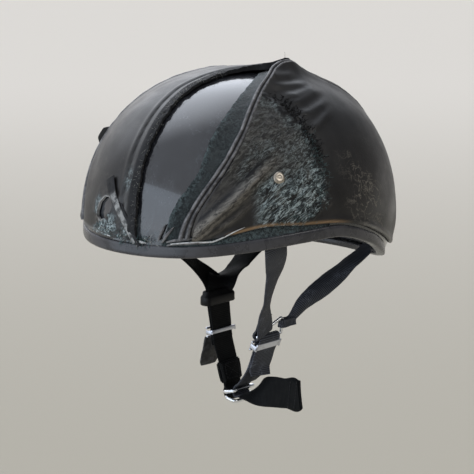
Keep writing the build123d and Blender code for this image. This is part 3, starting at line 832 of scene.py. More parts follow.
# How far the loose left seam stands off the dome, front to back (y, height)
TENT = ((-95, 0), (-75, 0.5), (-57, 2.4), (-41, 4.6), (-26, 7.6), (-12, 10.0), (0, 11.4),
        (7, 11.2), (15, 7.6), (25, 3.6), (40, 0.8), (58, 0))
SECOND_RIDGE = ((47, -133, 3), (52, -130, 5), (63, -122, 11), (69, -114, 19), (74, -107, 26),
                (79, -98, 34), (83, -88, 43), (86, -75, 53), (89, -58, 64))
CUT_EDGE = ((47, -133, 2.5), (54, -128, 3.5), (63, -122, 4.5), (72, -114, 5), (77, -108, 8),
            (82, -101, 12), (86, -94, 15))
THIRD_RIDGE = ((56, -128, 5), (66, -119, 9), (76, -109, 15), (84, -98, 24), (89, -88, 33),
               (94, -76, 42))
PATCH_LINE = ((-60, 108), (-44, 104), (-36, 97), (-30, 86), (-28, 72), (-27, 49), (-29, 31),
              (-38, 20), (-50, 14))
STREAK = np.array([0.35, 0.75, 0.56])
WRINKLES = (((46, -30, 110), (49, -20, 110), (49, -8, 111), (46, 6, 112)),
            ((54, -34, 106), (56, -18, 107), (57, 0, 107), (55, 14, 108)),
            ((63, -29, 102), (65, -14, 102), (62, 4, 104), (57, 20, 106)),
            ((70, -29, 97), (70, -14, 99), (66, 5, 102), (60, 24, 103)),
            ((88, -27, 78), (87, -12, 83), (83, 2, 88), (76, 16, 94)),
            ((78, -28, 91), (79, -12, 92), (76, 4, 95), (70, 20, 99)))


def patch_depth(points):
    """How far in front of the ragged edge of the abraded patch a point lies."""
    edge = along_curve(sorted((z, y) for y, z in PATCH_LINE), points[:, 2])
    ragged = 5.0 * noise(points, 11, 5) + 3.0 * noise(points, 4.2, 6)
    return edge - points[:, 1] + ragged


def tent(points, side_gap, reach=11.0):
    """The tent that the left seam makes where it stands off the crown."""
    rise = np.clip(along_curve(TENT, points[:, 1]), 0, None)
    return rise * np.exp(-np.abs(side_gap) / reach)


def wrinkles(points):
    height = np.zeros(len(points))
    for index, line in enumerate(WRINKLES):
        distance, along = line_distance(points, line)
        fade = smooth(along, 0.0, 0.25) * smooth(along, 1.0, 0.6)
        height += (1.5 - 0.1 * index) * fade * bump(distance, 3.4)
    return height


def left_panel_relief(points, gap):
    """The left panel's height: seam tent, folds, wrinkles and the abraded patch."""
    height = tent(points, gap) + 0.5 * (1 + layered(points, 34, 2, 3)) + bump(gap, 5)
    for line, rise, width, fade in ((SECOND_RIDGE, 5.6, 4.8, 0.65),
                                    (THIRD_RIDGE, 1.8, 2.4, 0.5), (CUT_EDGE, 1.5, 2.6, 0.7)):
        distance, along = line_distance(points, line)
        start = smooth(along, -0.1, 0.2) if line is SECOND_RIDGE else 1
        height += rise * start * smooth(along, 1.0, fade) * bump(distance, width)
    height += wrinkles(points)
    depth = patch_depth(points)
    inside = smooth(depth, -1.5, 3.0) * (1 - 0.9 * valley_mask(points, gap))
    flakes = np.abs(layered(streak_place(points) * [0.45, 1, 1], 5.0, 3, 11))
    height += inside * (1.5 * flakes - 0.2)
    height += bump(depth, 3.0) * (0.9 + noise(points, 2.6, 14))
    return np.clip(height, -0.15, None)


def streak_place(points):
    """The points in axes turned to lie along the scrape marks."""
    along = unit(STREAK)
    aside = unit(np.cross(along, [0.9, -0.3, 0.3]))
    return np.stack([points @ along, points @ aside, points @ np.cross(along, aside)], axis=1)


def valley_mask(points, gap):
    """1 on the smooth dark leather between the left seam and the folded ridge."""
    ridge, _ = line_distance(points, SECOND_RIDGE)
    edge = 3.0 * noise(points, 12, 25)
    return (smooth(gap, 24, 18) * smooth(points[:, 2] + edge, 52, 40)
            * smooth(points[:, 1], -80, -90))


def scrape_marks(points):
    """Coordinates for the leather shader that run along, beside and into the scrape."""
    return dict(zip(("run", "side", "deep"), streak_place(points).T))


def patch_marks(points, gap):
    """Where the abraded patch is worn, and where its fibres are pale."""
    depth = patch_depth(points)
    between = smooth(points[:, 2], 26, 20) * smooth(points[:, 0], 92, 82)
    between = between * smooth(points[:, 2] - (points[:, 0] - 72), -5, 2)
    calm = np.maximum(valley_mask(points, gap), between)
    wear = smooth(depth, -1.0, 2.0) * (1 - calm) * (1 - 0.4 * smooth(points[:, 2], 74, 100))
    low = smooth(points[:, 2], 62, 24)
    streak = smooth(noise(streak_place(points) * [0.4, 1, 1], 9, 21), -0.1, 0.5)
    fringe = bump(depth - 5, 6)
    pale = np.clip(0.05 + 0.80 * low * smooth(points[:, 1], -96, -62)
                   + (0.15 + 0.5 * low) * fringe + (0.10 + 0.3 * low) * streak, 0, 1)
    return wear, pale


def torn_and_crease_shade_mark(points):
    """Black torn fibres round the patch, and painted shade in the creases beside the folded ridge.
    """
    depth = patch_depth(points)
    grain = streak_place(points)
    gouge = bump(depth - 3.0, 4.0) * smooth(points[:, 2], 42, 64)
    gouge = gouge * smooth(noise(grain * [0.5, 1, 1], 2.4, 28), -0.2, 0.05)
    ridge, along = line_distance(points, SECOND_RIDGE)
    upper = points[:, 2] - along_curve([(y, z) for _, y, z in SECOND_RIDGE], points[:, 1])
    broken = 0.4 + 0.6 * smooth(noise(grain * [0.25, 1, 1], 5, 27), -0.5, 0.0)
    # painted shadow: dark bands at the foot of the folded ridge, beneath it and along its lower
    # flank
    foot = bump(ridge - 6.4, 1.9) * smooth(upper, -1, 2)
    below = 0.8 * bump(ridge - 6.2, 1.2) * smooth(upper, 1, -2)
    crease_shade = (foot + below + 0.7 * bump(ridge - 2.0, 0.6) * smooth(upper, 1, -1)) * broken
    crease_shade = crease_shade * smooth(along, 1.0, 0.85)
    fray = bump(depth + 0.5, 2.2) * smooth(noise(points, 3.4, 9), -0.2, 0.2)
    return np.clip(fray + gouge + crease_shade, 0, 1)


def left_panel_marks(points, gap):
    wear, pale = patch_marks(points, gap)
    ridge, along_ridge = line_distance(points, SECOND_RIDGE)
    third, along_third = line_distance(points, THIRD_RIDGE)
    # brown-grey on the folded ridges and beside the seam, on the ridges also a painted highlight
    brown_and_highlight = bump(ridge, 5.4) * smooth(along_ridge, 1.05, 0.8)
    brown_and_highlight += 0.6 * bump(third, 2.2) * smooth(along_third, 1.0, 0.7)
    brown_and_highlight += 0.25 * bump(gap - 1.5, 3.2) * smooth(points[:, 2], 96, 70)
    edge = lip(points)
    return {"wear": wear, "pale": pale, "brown_and_highlight": np.clip(brown_and_highlight, 0, 1),
            "scuff": smooth(points[:, 2], 86, 30) * smooth(points[:, 1], -20, 15),
            "tan": edge * smooth(points[:, 1], -108, -100) * smooth(points[:, 1], 0, -25),
            # a painted highlight along the rolled hem at the rear
            "light": 0.45 * edge * smooth(points[:, 1], 0, 30),
            "torn_and_crease_shade": torn_and_crease_shade_mark(points), **scrape_marks(points)}


def add_left_panel():
    """The panel on the wearer's left, with the abraded patch round its rivet."""
    mesh = clipped(DOME, lambda p: seam_gap(p, 1) - SEAM_HALF, above_leather_edge)
    points = mesh[0]
    side = seam_gap(points, 1) - SEAM_HALF
    hem = bump(above_leather_edge(points) - 2.0, 2.4)
    height = left_panel_relief(points, side) + 0.9 * hem * smooth(points[:, 1], -60, -10)
    piece = skin_piece("left_cover", mesh, height, LEATHER + height * 0.55, LEATHER_M,
                       left_panel_marks(points, side))
    return show(piece, "helmet", "cover", "left_cover_panel")


BLISTER = np.array([-71.0, -87.0, 66.0])      # a raised lump in the right panel's front


def add_right_panel():
    """The panel on the wearer's right, scuffed low down."""
    mesh = clipped(DOME, lambda p: seam_gap(p, -1) - SEAM_HALF, above_leather_edge)
    points = mesh[0]
    height = 0.5 * (1 + layered(points, 36, 2, 8))
    height += 1.1 * bump(seam_gap(points, -1) - SEAM_HALF, 5)
    height += 0.8 * bump(above_leather_edge(points) - 2.0, 2.4)
    height += 4.2 * smooth(np.linalg.norm(points - BLISTER, axis=1), 9.5, 3.5)
    # the 'light' mark is a painted highlight along the rolled lower hem
    piece = skin_piece("right_cover", mesh, height, LEATHER + height * 0.55, LEATHER_M,
                       {"scuff": 0.6 * smooth(points[:, 2], 60, 5), "light": 0.3 * lip(points)})
    return show(piece, "helmet", "cover", "right_cover_panel")


def tear_gap(points, ragged=1.0):
    """How far a point lies on the kept side of the tear in the centre panel."""
    x, y = points[:, 0], points[:, 1]
    fray = ragged * (0.8 * noise(points, 5.5, 31) + 0.5 * noise(points, 1.9, 32))
    return np.maximum(along_curve(TEAR, y) - x, y - along_curve(TEAR_TOP, x)) + fray


def tear_distance(points):
    line = [(x, y, 0) for y, x in TEAR[:-2]] + [(x, y, 0) for x, y in TEAR_TOP[1:]]
    return line_distance(points * [1, 1, 0], line)[0]


HOLE_MIDDLE = np.array([-14.0, -142.0, 22.0])
HOLE = ((-23, -142, 15), (-23, -141, 22), (-18, -140, 30), (-10, -141, 32), (-4, -143, 26),
        (-8, -144, 19), (-14, -144, 14), (-20, -143, 13))


def hole_gap(points):
    """Positive outside the small hole torn in the leather low at the front."""
    def polar(places):
        x, _, z = (places - HOLE_MIDDLE).T
        return np.arctan2(z, x), np.hypot(x, z)
    turn, distance = polar(points)
    corner_turn, reach = polar(np.array(HOLE))
    order = np.argsort(corner_turn)
    size = np.interp(turn, corner_turn[order], reach[order], period=2 * math.pi)
    ragged = 0.9 * noise(points, 3.0, 47)
    return np.where(points[:, 1] < 0, distance - size * 0.92 + ragged, 99.0)


def centre_relief(points, distance):
    """The centre panel's height: a rolled hem at the tear, the seam tent, loose front."""
    height = 0.4 * (1 + layered(points, 40, 2, 17))
    height += 1.5 * smooth(distance, 9.0, 6.0)
    height += 0.6 * smooth(distance, 7, 0) * noise(points, 2.6, 33)
    height = height - 0.6 * bump(distance - 13.0, 0.9) + 0.7 * bump(distance - 15.5, 2.0)
    for side in (1, -1):
        height += bump(seam_gap(points, side) + 3, 5)
    far = -seam_gap(points, 1) - SEAM_HALF
    height += tent(points, far, 17.0) * smooth(points[:, 1], -60, -30)
    low = smooth(points[:, 2], 46, 30) * smooth(points[:, 1], -110, -125)
    loose = low * smooth(points[:, 0], -34, -14)
    height += loose * (0.9 + 1.1 * noise(points, 7.0, 48))
    ragged = smooth(noise(points, 4.0, 58), -0.3, 0.3)
    return np.clip(height + 0.8 * ragged * bump(hole_gap(points), 1.6), -0.1, None)


def centre_marks(points, distance):
    """Felted rags low at the front, dark torn leather by the tear with painted shade in its groove,
    pale raw edges, a painted hem highlight.
    """
    # painted shade in the groove that runs beside the tear's rolled hem
    groove_shade = bump(distance - 13.0, 0.9) * smooth(points[:, 2], 55, 75)
    front = smooth(points[:, 1], -120, -130)
    rags = front * smooth(points[:, 2] + 0.5 * points[:, 0], 26, 8)
    rags = rags * smooth(points[:, 0], -34, -24) * smooth(noise(points, 4.5, 49), -0.45, -0.1)
    beside = front * bump(distance - 10, 4) * bump(points[:, 2] - 47, 9)
    rim = bump(hole_gap(points), 1.0) * smooth(points[:, 0] - points[:, 2] * 0.2, -12, -20)
    rim = 0.81 * rim * smooth(noise(points, 3.0, 59), -0.7, 0.1)
    # painted highlight along the rolled lower hem on the right side
    edge = 0.35 * lip(points) * smooth(points[:, 0], 0, -25)
    return {"wear": np.clip(rags + beside, 0, 1), "pale": 0.9 * rags + 0.6 * beside,
            "scuff": np.full(len(points), 0.25),
            "torn_and_crease_shade": np.clip(smooth(distance, 8.6, 7.0) + 0.8 * groove_shade, 0, 1),
            "light": np.clip(0.10 * bump(distance - 10.4, 1.2) + rim + edge, 0, 1),
            **scrape_marks(points)}


def add_centre_panel():
    """The middle panel, torn off along the crown line on its left half."""
    mesh = clipped(DOME, lambda p: -seam_gap(p, 1) - SEAM_HALF,
                   lambda p: -seam_gap(p, -1) - SEAM_HALF, above_leather_edge, tear_gap,
                   hole_gap)
    points = mesh[0]
    distance = np.abs(tear_distance(points))
    height = centre_relief(points, distance)
    piece = skin_piece("centre_cover", mesh, height, LEATHER + height * 0.5, LEATHER_M,
                       centre_marks(points, distance))
    return show(piece, "helmet", "cover", "centre_cover_panel")


def add_backing():
    """The frayed strip of felt beside the left seam, where the cover is torn off."""
    def strip(points):
        ragged = 0.45 * noise(points, 6, 41) + 0.35 * noise(points, 1.8, 42)
        return points[:, 0] - along_curve(FELT_EDGE, points[:, 1]) + ragged
    mesh = clipped(DOME, lambda p: -seam_gap(p, 1) - 0.6, strip,
                   lambda p: above_leather_edge(p) - 1, lambda p: 9.0 - p[:, 1])
    points = mesh[0]
    edge = strip(points)
    side = -seam_gap(points, 1)
    width = np.clip(side + edge, 4, None)
    slope = np.clip(1 - side / width, 0, 1)
    rise = np.clip(along_curve(TENT, points[:, 1]), 0, None) * slope ** 1.6
    height = -1.0 + 0.30 * layered(points, 6, 3, 44) + 1.2 * bump(side - 1, 4) + rise
    piece = skin_piece("torn_backing", mesh, height, 0.75 + 0 * rise, FELT_M,
                       {"light": bump(edge, 2.2)})
    return show(piece, "helmet", "felt", "cover_backing")


def add_lower_lining():
    """The strip of backing that shows under the left panel's raised lower edge."""
    def level(points):
        return 3.0 - above_leather_edge(points)
    mesh = clipped(DOME, lambda p: p[:, 0] - 40, lambda p: above_rim(p, 8.6), level,
                   lambda p: -24 + 2 * noise(p, 4, 45) - p[:, 1])
    points = mesh[0]
    height = -1.1 + 0.3 * layered(points, 5, 3, 46)
    piece = skin_piece("lower_backing", mesh, height, 0.6, FELT_M,
                       {"light": smooth(level(points), 2.4, 6) * 0.8})
    return show(piece, "helmet", "felt")


FRONT_FOLDS = (((44, -134, 1), (50, -130, 2.5), (58, -125, 3.2), (68, -117, 3.6)),
               ((44, -135, 3.5), (49, -131, 5), (55, -127, 6), (62, -122, 7)),
               ((41, -137, 3), (44, -134, 9), (48, -131, 15)),
               ((38, -138, 4), (40, -137, 10), (43, -135, 17)))
BARE_EDGES = (((19, -144, 1.6), (24, -143, 2.2), (29, -142, 1.7)),
              ((-16, -144, 4.2), (-8, -145, 3.4), (1, -145, 2.6)))


def add_cord(name, line, count, rise, ends, power, outline, material):
    """A tapering cord of leather on the dome; rise is (height, waver, size, seed)."""
    path, normals = raised_path(line, count, *rise)
    taper = np.sin(np.linspace(*ends, count) * math.pi) ** power
    piece = sweep(name, path, normals, circle_profile(*outline), material,
                  scale=np.stack([taper, taper], axis=1))
    show(piece, "helmet", "cover")


def add_cords():
    """The flap's raw cut edge, and folds that fan out where the left seam meets the rim."""
    add_cord("cut_edge", CUT_EDGE, 90, (1.9, 0.25, 5, 55), (0.12, 1), 0.5, (0.62, 8, 0.7),
             RAW_M)
    for index, line in enumerate(FRONT_FOLDS):
        add_cord(f"front_fold_{index}", line, 50, (0.6, 0.4, 6, 56 + index), (0.1, 0.97), 0.6,
                 (1.15, 10, 0.8), WELT_M)


def add_bare_edges():
    """The pale raw edges that show low in the tear, just above the trim."""
    for index, line in enumerate(BARE_EDGES):
        add_cord(f"bare_edge_{index}", line, 30, (0.7, 0.4, 3, 80 + index), (0.1, 0.95), 0.5,
                 (0.95 - 0.35 * index, 8, 0.9), RAW_M)


def add_hanging_strip():
    """The torn strip of leather that hangs beside the tear at the front, and a black band beside it
    painted as its shadow.
    """
    line = [(-13, -136, 45), (-6, -141, 35), (2, -143, 26), (9, -144, 17), (16, -144, 7),
            (20, -144, 1)]
    count = 60
    path, normals = raised_path(line, count, 1.8, 0.5, 8, 57)
    run = np.linspace(0, 1, count)
    widths = np.interp(run, [0, 0.2, 0.28, 0.6, 1], [9.0, 8.2, 5.6, 5.0, 3.2])
    outline = band_profile(2.0, 1.4, 0.4)
    shadow = np.maximum(0.2, 0.8 * widths * smooth(run, 0.2, 0.35))
    # the second sweep is a black band on the leather beside the strip: a painted shadow
    for name, aside, width, dark in (("hanging_strip", 0.0, widths, smooth(run, 0.30, 0.2)),
                                     ("hanging_strip_shadow", 4.4, shadow, run * 0 + 1)):
        place = path + np.array([aside, 0.0, -0.4 * aside]) - normals * 0.15 * aside
        piece = sweep(name, place, normals, outline, STRIP_M,
                      scale=np.stack([width / 2, np.ones(count)], axis=1),
                      marks={"dark": np.repeat(dark, len(outline))})
        show(piece, "helmet", "cover")


def dome_spots(line, count, spread, seed):
    """Random points on the dome scattered beside a line, with their normals."""
    chance = np.random.default_rng(seed)
    path = smooth_path(line, 200)
    pick = path[chance.integers(0, 200, count)] + chance.normal(0, spread, (count, 3))
    return *on_dome(pick), chance


TEAR_HEM = ((19, -144, 12), (16, -136, 44), (13, -124, 68), (9, -98, 95), (6, -70, 110),
            (8, -35, 117))
PATCH_EDGE = ((96, -30, 82), (104, -28, 68), (107, -28, 49), (109, -34, 30), (106, -50, 17),
              (98, -70, 15))
PATCH_TOP = ((56, -38, 104), (63, -33, 101), (72, -29, 95), (82, -28, 86), (92, -28, 76),
             (101, -26, 62))
FRONT_HEM = ((-22, -143, 10), (-8, -145, 8), (8, -145, 5), (22, -143, 3), (34, -139, 3))
# name, line, (count, spread, seed), (outwards, scatter, along the scrape), height, length,
# material, radius, curl
LEATHER_FRINGES = (
    ("hem_fibres", TEAR_HEM, (150, 1.2, 61), (0.4, 0.8, 0), 1.6, 3.2, THREAD_PALE, 0.10, 0.6),
    ("hem_fuzz", TEAR_HEM, (260, 1.6, 63), (0.3, 0.8, 0), 1.4, 3.0, THREAD_DARK, 0.13, 0.6),
    ("patch_fringe_pale", PATCH_EDGE, (150, 3.2, 65), (0.35, 0.6, 0.5), 1.2, 4.2,
     THREAD_TEAL, 0.17, 0.5),
    ("patch_fringe_dark", PATCH_EDGE, (160, 3.0, 67), (0.4, 0.6, 0.5), 1.2, 4.6,
     THREAD_DARK, 0.22, 0.5),
    ("patch_curls", PATCH_TOP, (130, 2.6, 73), (0.25, 0.6, 0.6), 1.6, 5.0, THREAD_BLACK,
     0.55, 0.8),
)
FRONT_FRINGES = (
    ("front_rags", FRONT_HEM, (130, 2.6, 69), (0.3, 0.8, 0), 0.6, 4.5, THREAD_TEAL, 0.24, 0.6),
    ("front_wisps", FRONT_HEM, (60, 2.2, 71), (0.3, 0.8, 0), 0.6, 4.0, THREAD_PALE, 0.2, 0.6),
)


def add_fringe(name, line, roots, way, height, length, *looks):
    count, spread, seed = roots
    outwards, scatter, scraped = way
    spots, normals, chance = dome_spots(line, count, spread, seed)
    ways = normals * outwards + chance.normal(0, scatter, spots.shape) + STREAK * scraped
    fringe = fibres(name, spots + normals * height, ways, length, *looks, seed + 1)
    show(fringe, "helmet", "cover")


def add_fibres():
    """The fringes of the torn leather, and the loose thread at the top of the seam tent."""
    for row in LEATHER_FRINGES:
        add_fringe(*row)
    thread = fibres("peak_thread", [[42.0, 0.0, 129.6]], [(-0.1, 0, 1)], 5.6, THREAD_DARK,
                    0.16, 0.5, 75)
    show(thread, "helmet", "cover")
    for row in FRONT_FRINGES:
        add_fringe(*row)


def seam_path(side, count=220):
    """Points along a seam, over the crown from the front leather edge to the back one."""
    turn = np.radians(np.linspace(-2, 205, count))
    def place(distance):
        y, z = -distance * np.cos(turn), distance * np.sin(turn)
        return along_curve(SEAM, y), y, z
    x, y, z = place(furthest(lambda distance: within(*place(distance)), count, 190.0))
    path = np.stack([side * x, y, z], axis=1)
    return path[above_leather_edge(path) > 0.3]


WELT_PROFILE = ((-3.3, -1.4), (-3.1, 0.4), (-2.5, 1.7), (-1.6, 2.2), (-0.8, 1.8), (-0.25, 0.6),
                (0.25, 0.6), (0.8, 1.8), (1.6, 2.2), (2.5, 1.7), (3.1, 0.4), (3.3, -1.4))
# painted shade: how dark each profile point is, darkest in the groove between the two rolls and
# where the sides meet the leather
WELT_GROOVE_SHADE = (1, 0.5, 0, 0, 0.3, 1, 1, 0.3, 0, 0, 0.5, 1)


def add_welt(side, name, node):
    """The raised piping along a seam; the left one follows the tent and flares at the rim."""
    path = seam_path(side)
    normals = dome_normal(path)
    rise = tent(path, 0 * path[:, 0]) if side > 0 else np.zeros(len(path))
    lifted = path + normals * (rise + 0.25 * noise(path, 7, 51))[:, None]
    scale = np.ones((len(path), 2))
    flare = smooth(path[:, 2], 34, 6) * smooth(path[:, 1], -100, -120) * (side > 0)
    scale[:, 0] += 0.10 * noise(path, 9, 52) + 0.45 * flare
    piece = sweep(name, lifted, normals, WELT_PROFILE, WELT_M, scale=scale, sharp=60,
                  marks={"dark": np.tile(WELT_GROOVE_SHADE, len(path))})
    return show(piece, "helmet", "welt", node)


def rim_path(height, count=360):
    """Points round the dome at a height above the rim."""
    turn = np.linspace(0, 2 * math.pi, count, endpoint=False)
    z = np.zeros(count)
    for _ in range(30):
        y = np.sin(turn) * half_length(np.sin(turn))
        y = y * ring_factor(z, CROWN)
        z = along_curve(RIM, y) + height
    return np.stack([HALF_WIDTH * ring_factor(z, CROWN) * np.cos(turn), y, z], axis=1)


TRIM_PROFILE = ((-1.8, 9.4), (-1.0, 9.5), (-0.1, 9.2), (0.35, 8.6), (0.45, 6.6), (0.5, 3.6),
                (0.45, 1.6), (0.1, 0.6), (-0.8, 0.05), (-2.0, -0.1), (-5.4, -0.1),
                (-6.5, 0.2), (-6.95, 1.0), (-7.0, 4.6), (-6.6, 5.7), (-5.9, 6.0),
                (-5.35, 5.8), (-5.35, 1.8), (-1.85, 1.8))


def add_trim():
    path = rim_path(0)
    flat = unit(dome_normal(path) * [1, 1, 0])
    upright = np.tile([0.0, 0.0, 1.0], (len(path), 1))
    piece = sweep("rim_bead", path, None, TRIM_PROFILE, TRIM_M, True, sharp=50,
                  frame_of=(flat, upright))
    return show(piece, "helmet", "trim", "edge_trim")


def rivet_across(rivet):
    """The direction along the rim at a rivet, not of unit length."""
    turn = math.radians(rivet[0])
    return np.array([-HALF_WIDTH * math.sin(turn),
                     half_length(math.sin(turn)) * math.cos(turn), 0])


def rivet_place(rivet):
    turn = math.radians(rivet[0])
    factor = ring_factor(np.array(rivet[1]), CROWN)
    point = np.array([HALF_WIDTH * factor * math.cos(turn),
                      half_length(math.sin(turn)) * factor * math.sin(turn), rivet[1]])
    return point, dome_normal(point[None])[0]


RIVET_PROFILE = ((2.45, -9.0), (2.45, 0.3), (4.5, 0.3), (4.75, 0.45), (4.75, 0.75),
                 (4.5, 1.15), (3.9, 1.55), (3.1, 1.85), (2.3, 2.0), (1.5, 1.75), (0.8, 1.7),
                 (0.2, 1.9))


def add_rivets():
    for name, rivet in RIVETS.items():
        point, normal = rivet_place(rivet)
        proud = 0.35 if name == "left_front" else 0.0
        piece = lathe(name + "_rivet_head", RIVET_PROFILE, point + normal * proud, normal,
                      RIVET_M, 48)
        show(piece, "helmet", "rivet", name + "_rivet")


# ------------------------------------------------------------------ webbing
# Half of a strap's outline: across it, as a share of its width, and its thickness there
WEB_HALF = np.array([(-0.5, 0.35), (-0.488, 0.85), (-0.46, 1), (-0.39, 1),
                     *[(tenth / 10, 1) for tenth in range(-3, 4)],
                     (0.39, 1), (0.46, 1), (0.488, 0.85), (0.5, 0.35)])


def band(name, stations, material, thickness=WEB, seed=3, ripple=0.22, step=0.8):
    """Webbing along stations of (centre, width direction, width, cup)."""
    rows = np.array([(*centre, *unit(np.array(across, float)), *rest)
                     for centre, across, *rest in stations], float)
    reach = np.linalg.norm(np.diff(rows[:, :3], axis=0), axis=1).sum()
    rows = smooth_path(rows, max(int(reach / step), 8))
    centre, across = rows[:, :3], unit(rows[:, 3:6])
    width, cup = rows[:, 6], rows[:, 7]
    way = unit(np.gradient(centre, axis=0))
    across = unit(across - way * (across * way).sum(axis=1, keepdims=True))
    facing = np.cross(way, across)
    run = np.r_[0, np.cumsum(np.linalg.norm(np.diff(centre, axis=0), axis=1))]
    outline = np.concatenate([WEB_HALF, WEB_HALF[::-1] * [1, -1]])
    place = np.stack(np.meshgrid(run, outline[:, 0] * WEB_WIDTH, indexing="ij"), axis=-1)
    flat = np.concatenate([place, np.zeros((*place.shape[:2], 1))], axis=-1)
    wave = ripple * noise(flat, 13.0, seed) + 0.3 * ripple * noise(flat, 4.0, seed + 1)
    side = outline[None, :, 0] * (width[:, None] + 0.3 * noise(flat * [1, 0.01, 1], 6, seed))
    bow = cup[:, None] * (1 - 4 * outline[None, :, 0] ** 2) - 0.5 * cup[:, None]
    rise = outline[None, :, 1] * thickness / 2 + bow + wave
    rings = centre[:, None] + across[:, None] * side[..., None] + facing[:, None] * rise[..., None]
    count, columns = rings.shape[:2]
    index = np.arange(count * columns).reshape(count, columns)
    caps = []
    for end in (0, -1):
        top, low = index[end, :len(WEB_HALF)], index[end, len(WEB_HALF):][::-1]
        caps.append(np.stack([top[:-1], top[1:], low[1:], low[:-1]], -1))
    marks = {"along": place[..., 0].ravel(), "across": place[..., 1].ravel()}
    faces = [ring_quads(count, columns), *caps]
    return outward_faces(new_mesh(name, rings.reshape(-1, 3), faces, material, 60, marks))


def stitches(name, spots, ways, normals, material, length=2.4, radius=0.28):
    """Short raised stitches lying along `ways` at `spots`."""
    ways = unit(np.array(ways, float))
    normals = unit(np.array(normals, float))
    sides = np.cross(ways, normals)
    lengthwise = np.array([-1, -0.8, 0, 0.8, 1])
    girth = np.array([0.05, 0.75, 1, 0.75, 0.05])
    turn = np.linspace(0, 2 * math.pi, 6, endpoint=False)
    a = np.repeat(lengthwise * length / 2, 6)
    b = (girth[:, None] * np.cos(turn)).ravel() * radius
    c = (girth[:, None] * np.sin(turn)).ravel() * radius
    spots = np.array(spots, float)
    points = (spots[:, None] + ways[:, None] * a[:, None] + sides[:, None] * b[:, None]
              + normals[:, None] * c[:, None])
    faces = [repeated(part, len(spots), 30) for part in (ring_quads(5, 6), ring_ends(5, 6))]
    return new_mesh(name, points.reshape(-1, 3), faces, material, 70)


def fibres(name, roots, ways, lengths, material, radius=0.16, curl=0.5, seed=5):
    """Loose threads: thin tapering tubes that start at `roots` and wander."""
    chance = np.random.default_rng(seed)
    roots, ways = np.array(roots, float), unit(np.array(ways, float))
    lengths = np.broadcast_to(lengths, len(roots)).astype(float)
    steps = 7
    place, way = roots.copy(), ways.copy()
    lines = [place.copy()]
    for _ in range(steps):
        way = unit(way + curl * chance.normal(0, 0.45, way.shape))
        place += way * (lengths / steps)[:, None]
        lines.append(place.copy())
    lines = np.stack(lines, axis=1)
    along = unit(np.gradient(lines, axis=1))
    side = unit(np.cross(along, [0.3, 0.5, 0.81]))
    other = np.cross(along, side)
    taper = np.linspace(1, 0.35, steps + 1)[None, :, None] * radius
    rings = [lines + taper * (math.cos(t) * side + math.sin(t) * other)
             for t in (0, 2.094, 4.189)]
    rings = np.stack(rings, axis=2)
    faces = [repeated(part, len(roots), (steps + 1) * 3)
             for part in (ring_quads(steps + 1, 3), ring_ends(steps + 1, 3))]
    return new_mesh(name, rings.reshape(-1, 3), faces, material, 80)


EYE = 2.55              # from a wire's middle to the middle of the webbing round it
HANGER_DEPTH = 7.8      # from the leather's surface to the strap between shell and foam


def hanger_stations(rivet, low):
    """The strap's upper end inside the shell, from above its rivet down to z = low."""
    across = rivet_across(rivet)
    stations = []
    for z in np.linspace(rivet[1] + 10, low, 6):
        point, normal = rivet_place((rivet[0], z))
        stations.append((point - normal * HANGER_DEPTH, across, WEB_WIDTH, 0.0))
    return stations, across


def eye_stations(foot, wire_way, incoming, width, cup, back=14.0, sense=1):
    """The sewn end of a strap: round a wire at foot and back up beside itself."""
    down = unit(np.array(incoming, float))
    wire = unit(np.array(wire_way, float))
    down = unit(down - wire * down.dot(wire))
    out = np.cross(wire, down) * sense
    turns = [(math.cos(t) * out + math.sin(t) * down) * EYE
             for t in np.radians((0, 36, 72, 108, 144, 180))]
    stations = [(foot - down * 7 + out * 1.5, wire, width, cup * 0.6)]
    stations += [(foot + turn, wire, width, cup * 0.2) for turn in turns]
    stations += [(foot - down * 7 - out * 1.6, wire, width * 0.96, cup * 0.5),
                 (foot - down * back - out * 1.35, wire, width * 0.94, cup * 0.8)]
    return stations


# Where the harness hardware lies: the triangular ring's corners, the divider, the slide and
# the D-rings' straight bars and curves, these last as (x, z)
RING_FRONT, RING_REAR = np.array([28.0, -24.0, -98.5]), np.array([28.0, 12.5, -98.5])
RING_TOP = np.array([30.0, 12.0, -84.0])
DIVIDER = np.array([-28.0, -4.0, -69.0])
SLIDE = np.array([-24.5, -4.0, -101.5])
BAR_A, CURVE_A = (-12.0, -151.5), (0.0, -148.0)
BAR_B, CURVE_B = (-10.0, -155.3), (1.2, -157.0)
ACROSS = (0, 1, 0)
RING_Y, RING_HALF = -1.5, 12.5        # the D-rings' middle and half width along Y
RING_WIRE = 1.5                       # their wire's radius


def at(x, z, width=WEB_WIDTH, cup=0.0, across=ACROSS, y=MID_Y):
    """A station of webbing: its centre, width direction, width and how far it cups."""
    return (x, y, z), across, width, cup


def leg_point(top, foot, t, sideways=(0, 0, 0)):
    """A point a share t of the way down a strap."""
    return np.array(top) + (np.array(foot) - top) * t + np.array(sideways)


def arc(middle, radius, degrees, width, y=MID_Y):
    """Stations round a bar whose middle is (x, z)."""
    return [at(middle[0] + radius * math.cos(t), middle[1] + radius * math.sin(t), width, y=y)
            for t in np.radians(degrees)]


def show_leg(piece, slot, top, foot, bend_start, bend_end, *nodes):
    """Bakes the webbing's placement into its mesh and hides the CAD nodes it stands for."""
    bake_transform(piece)
    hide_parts(*nodes)


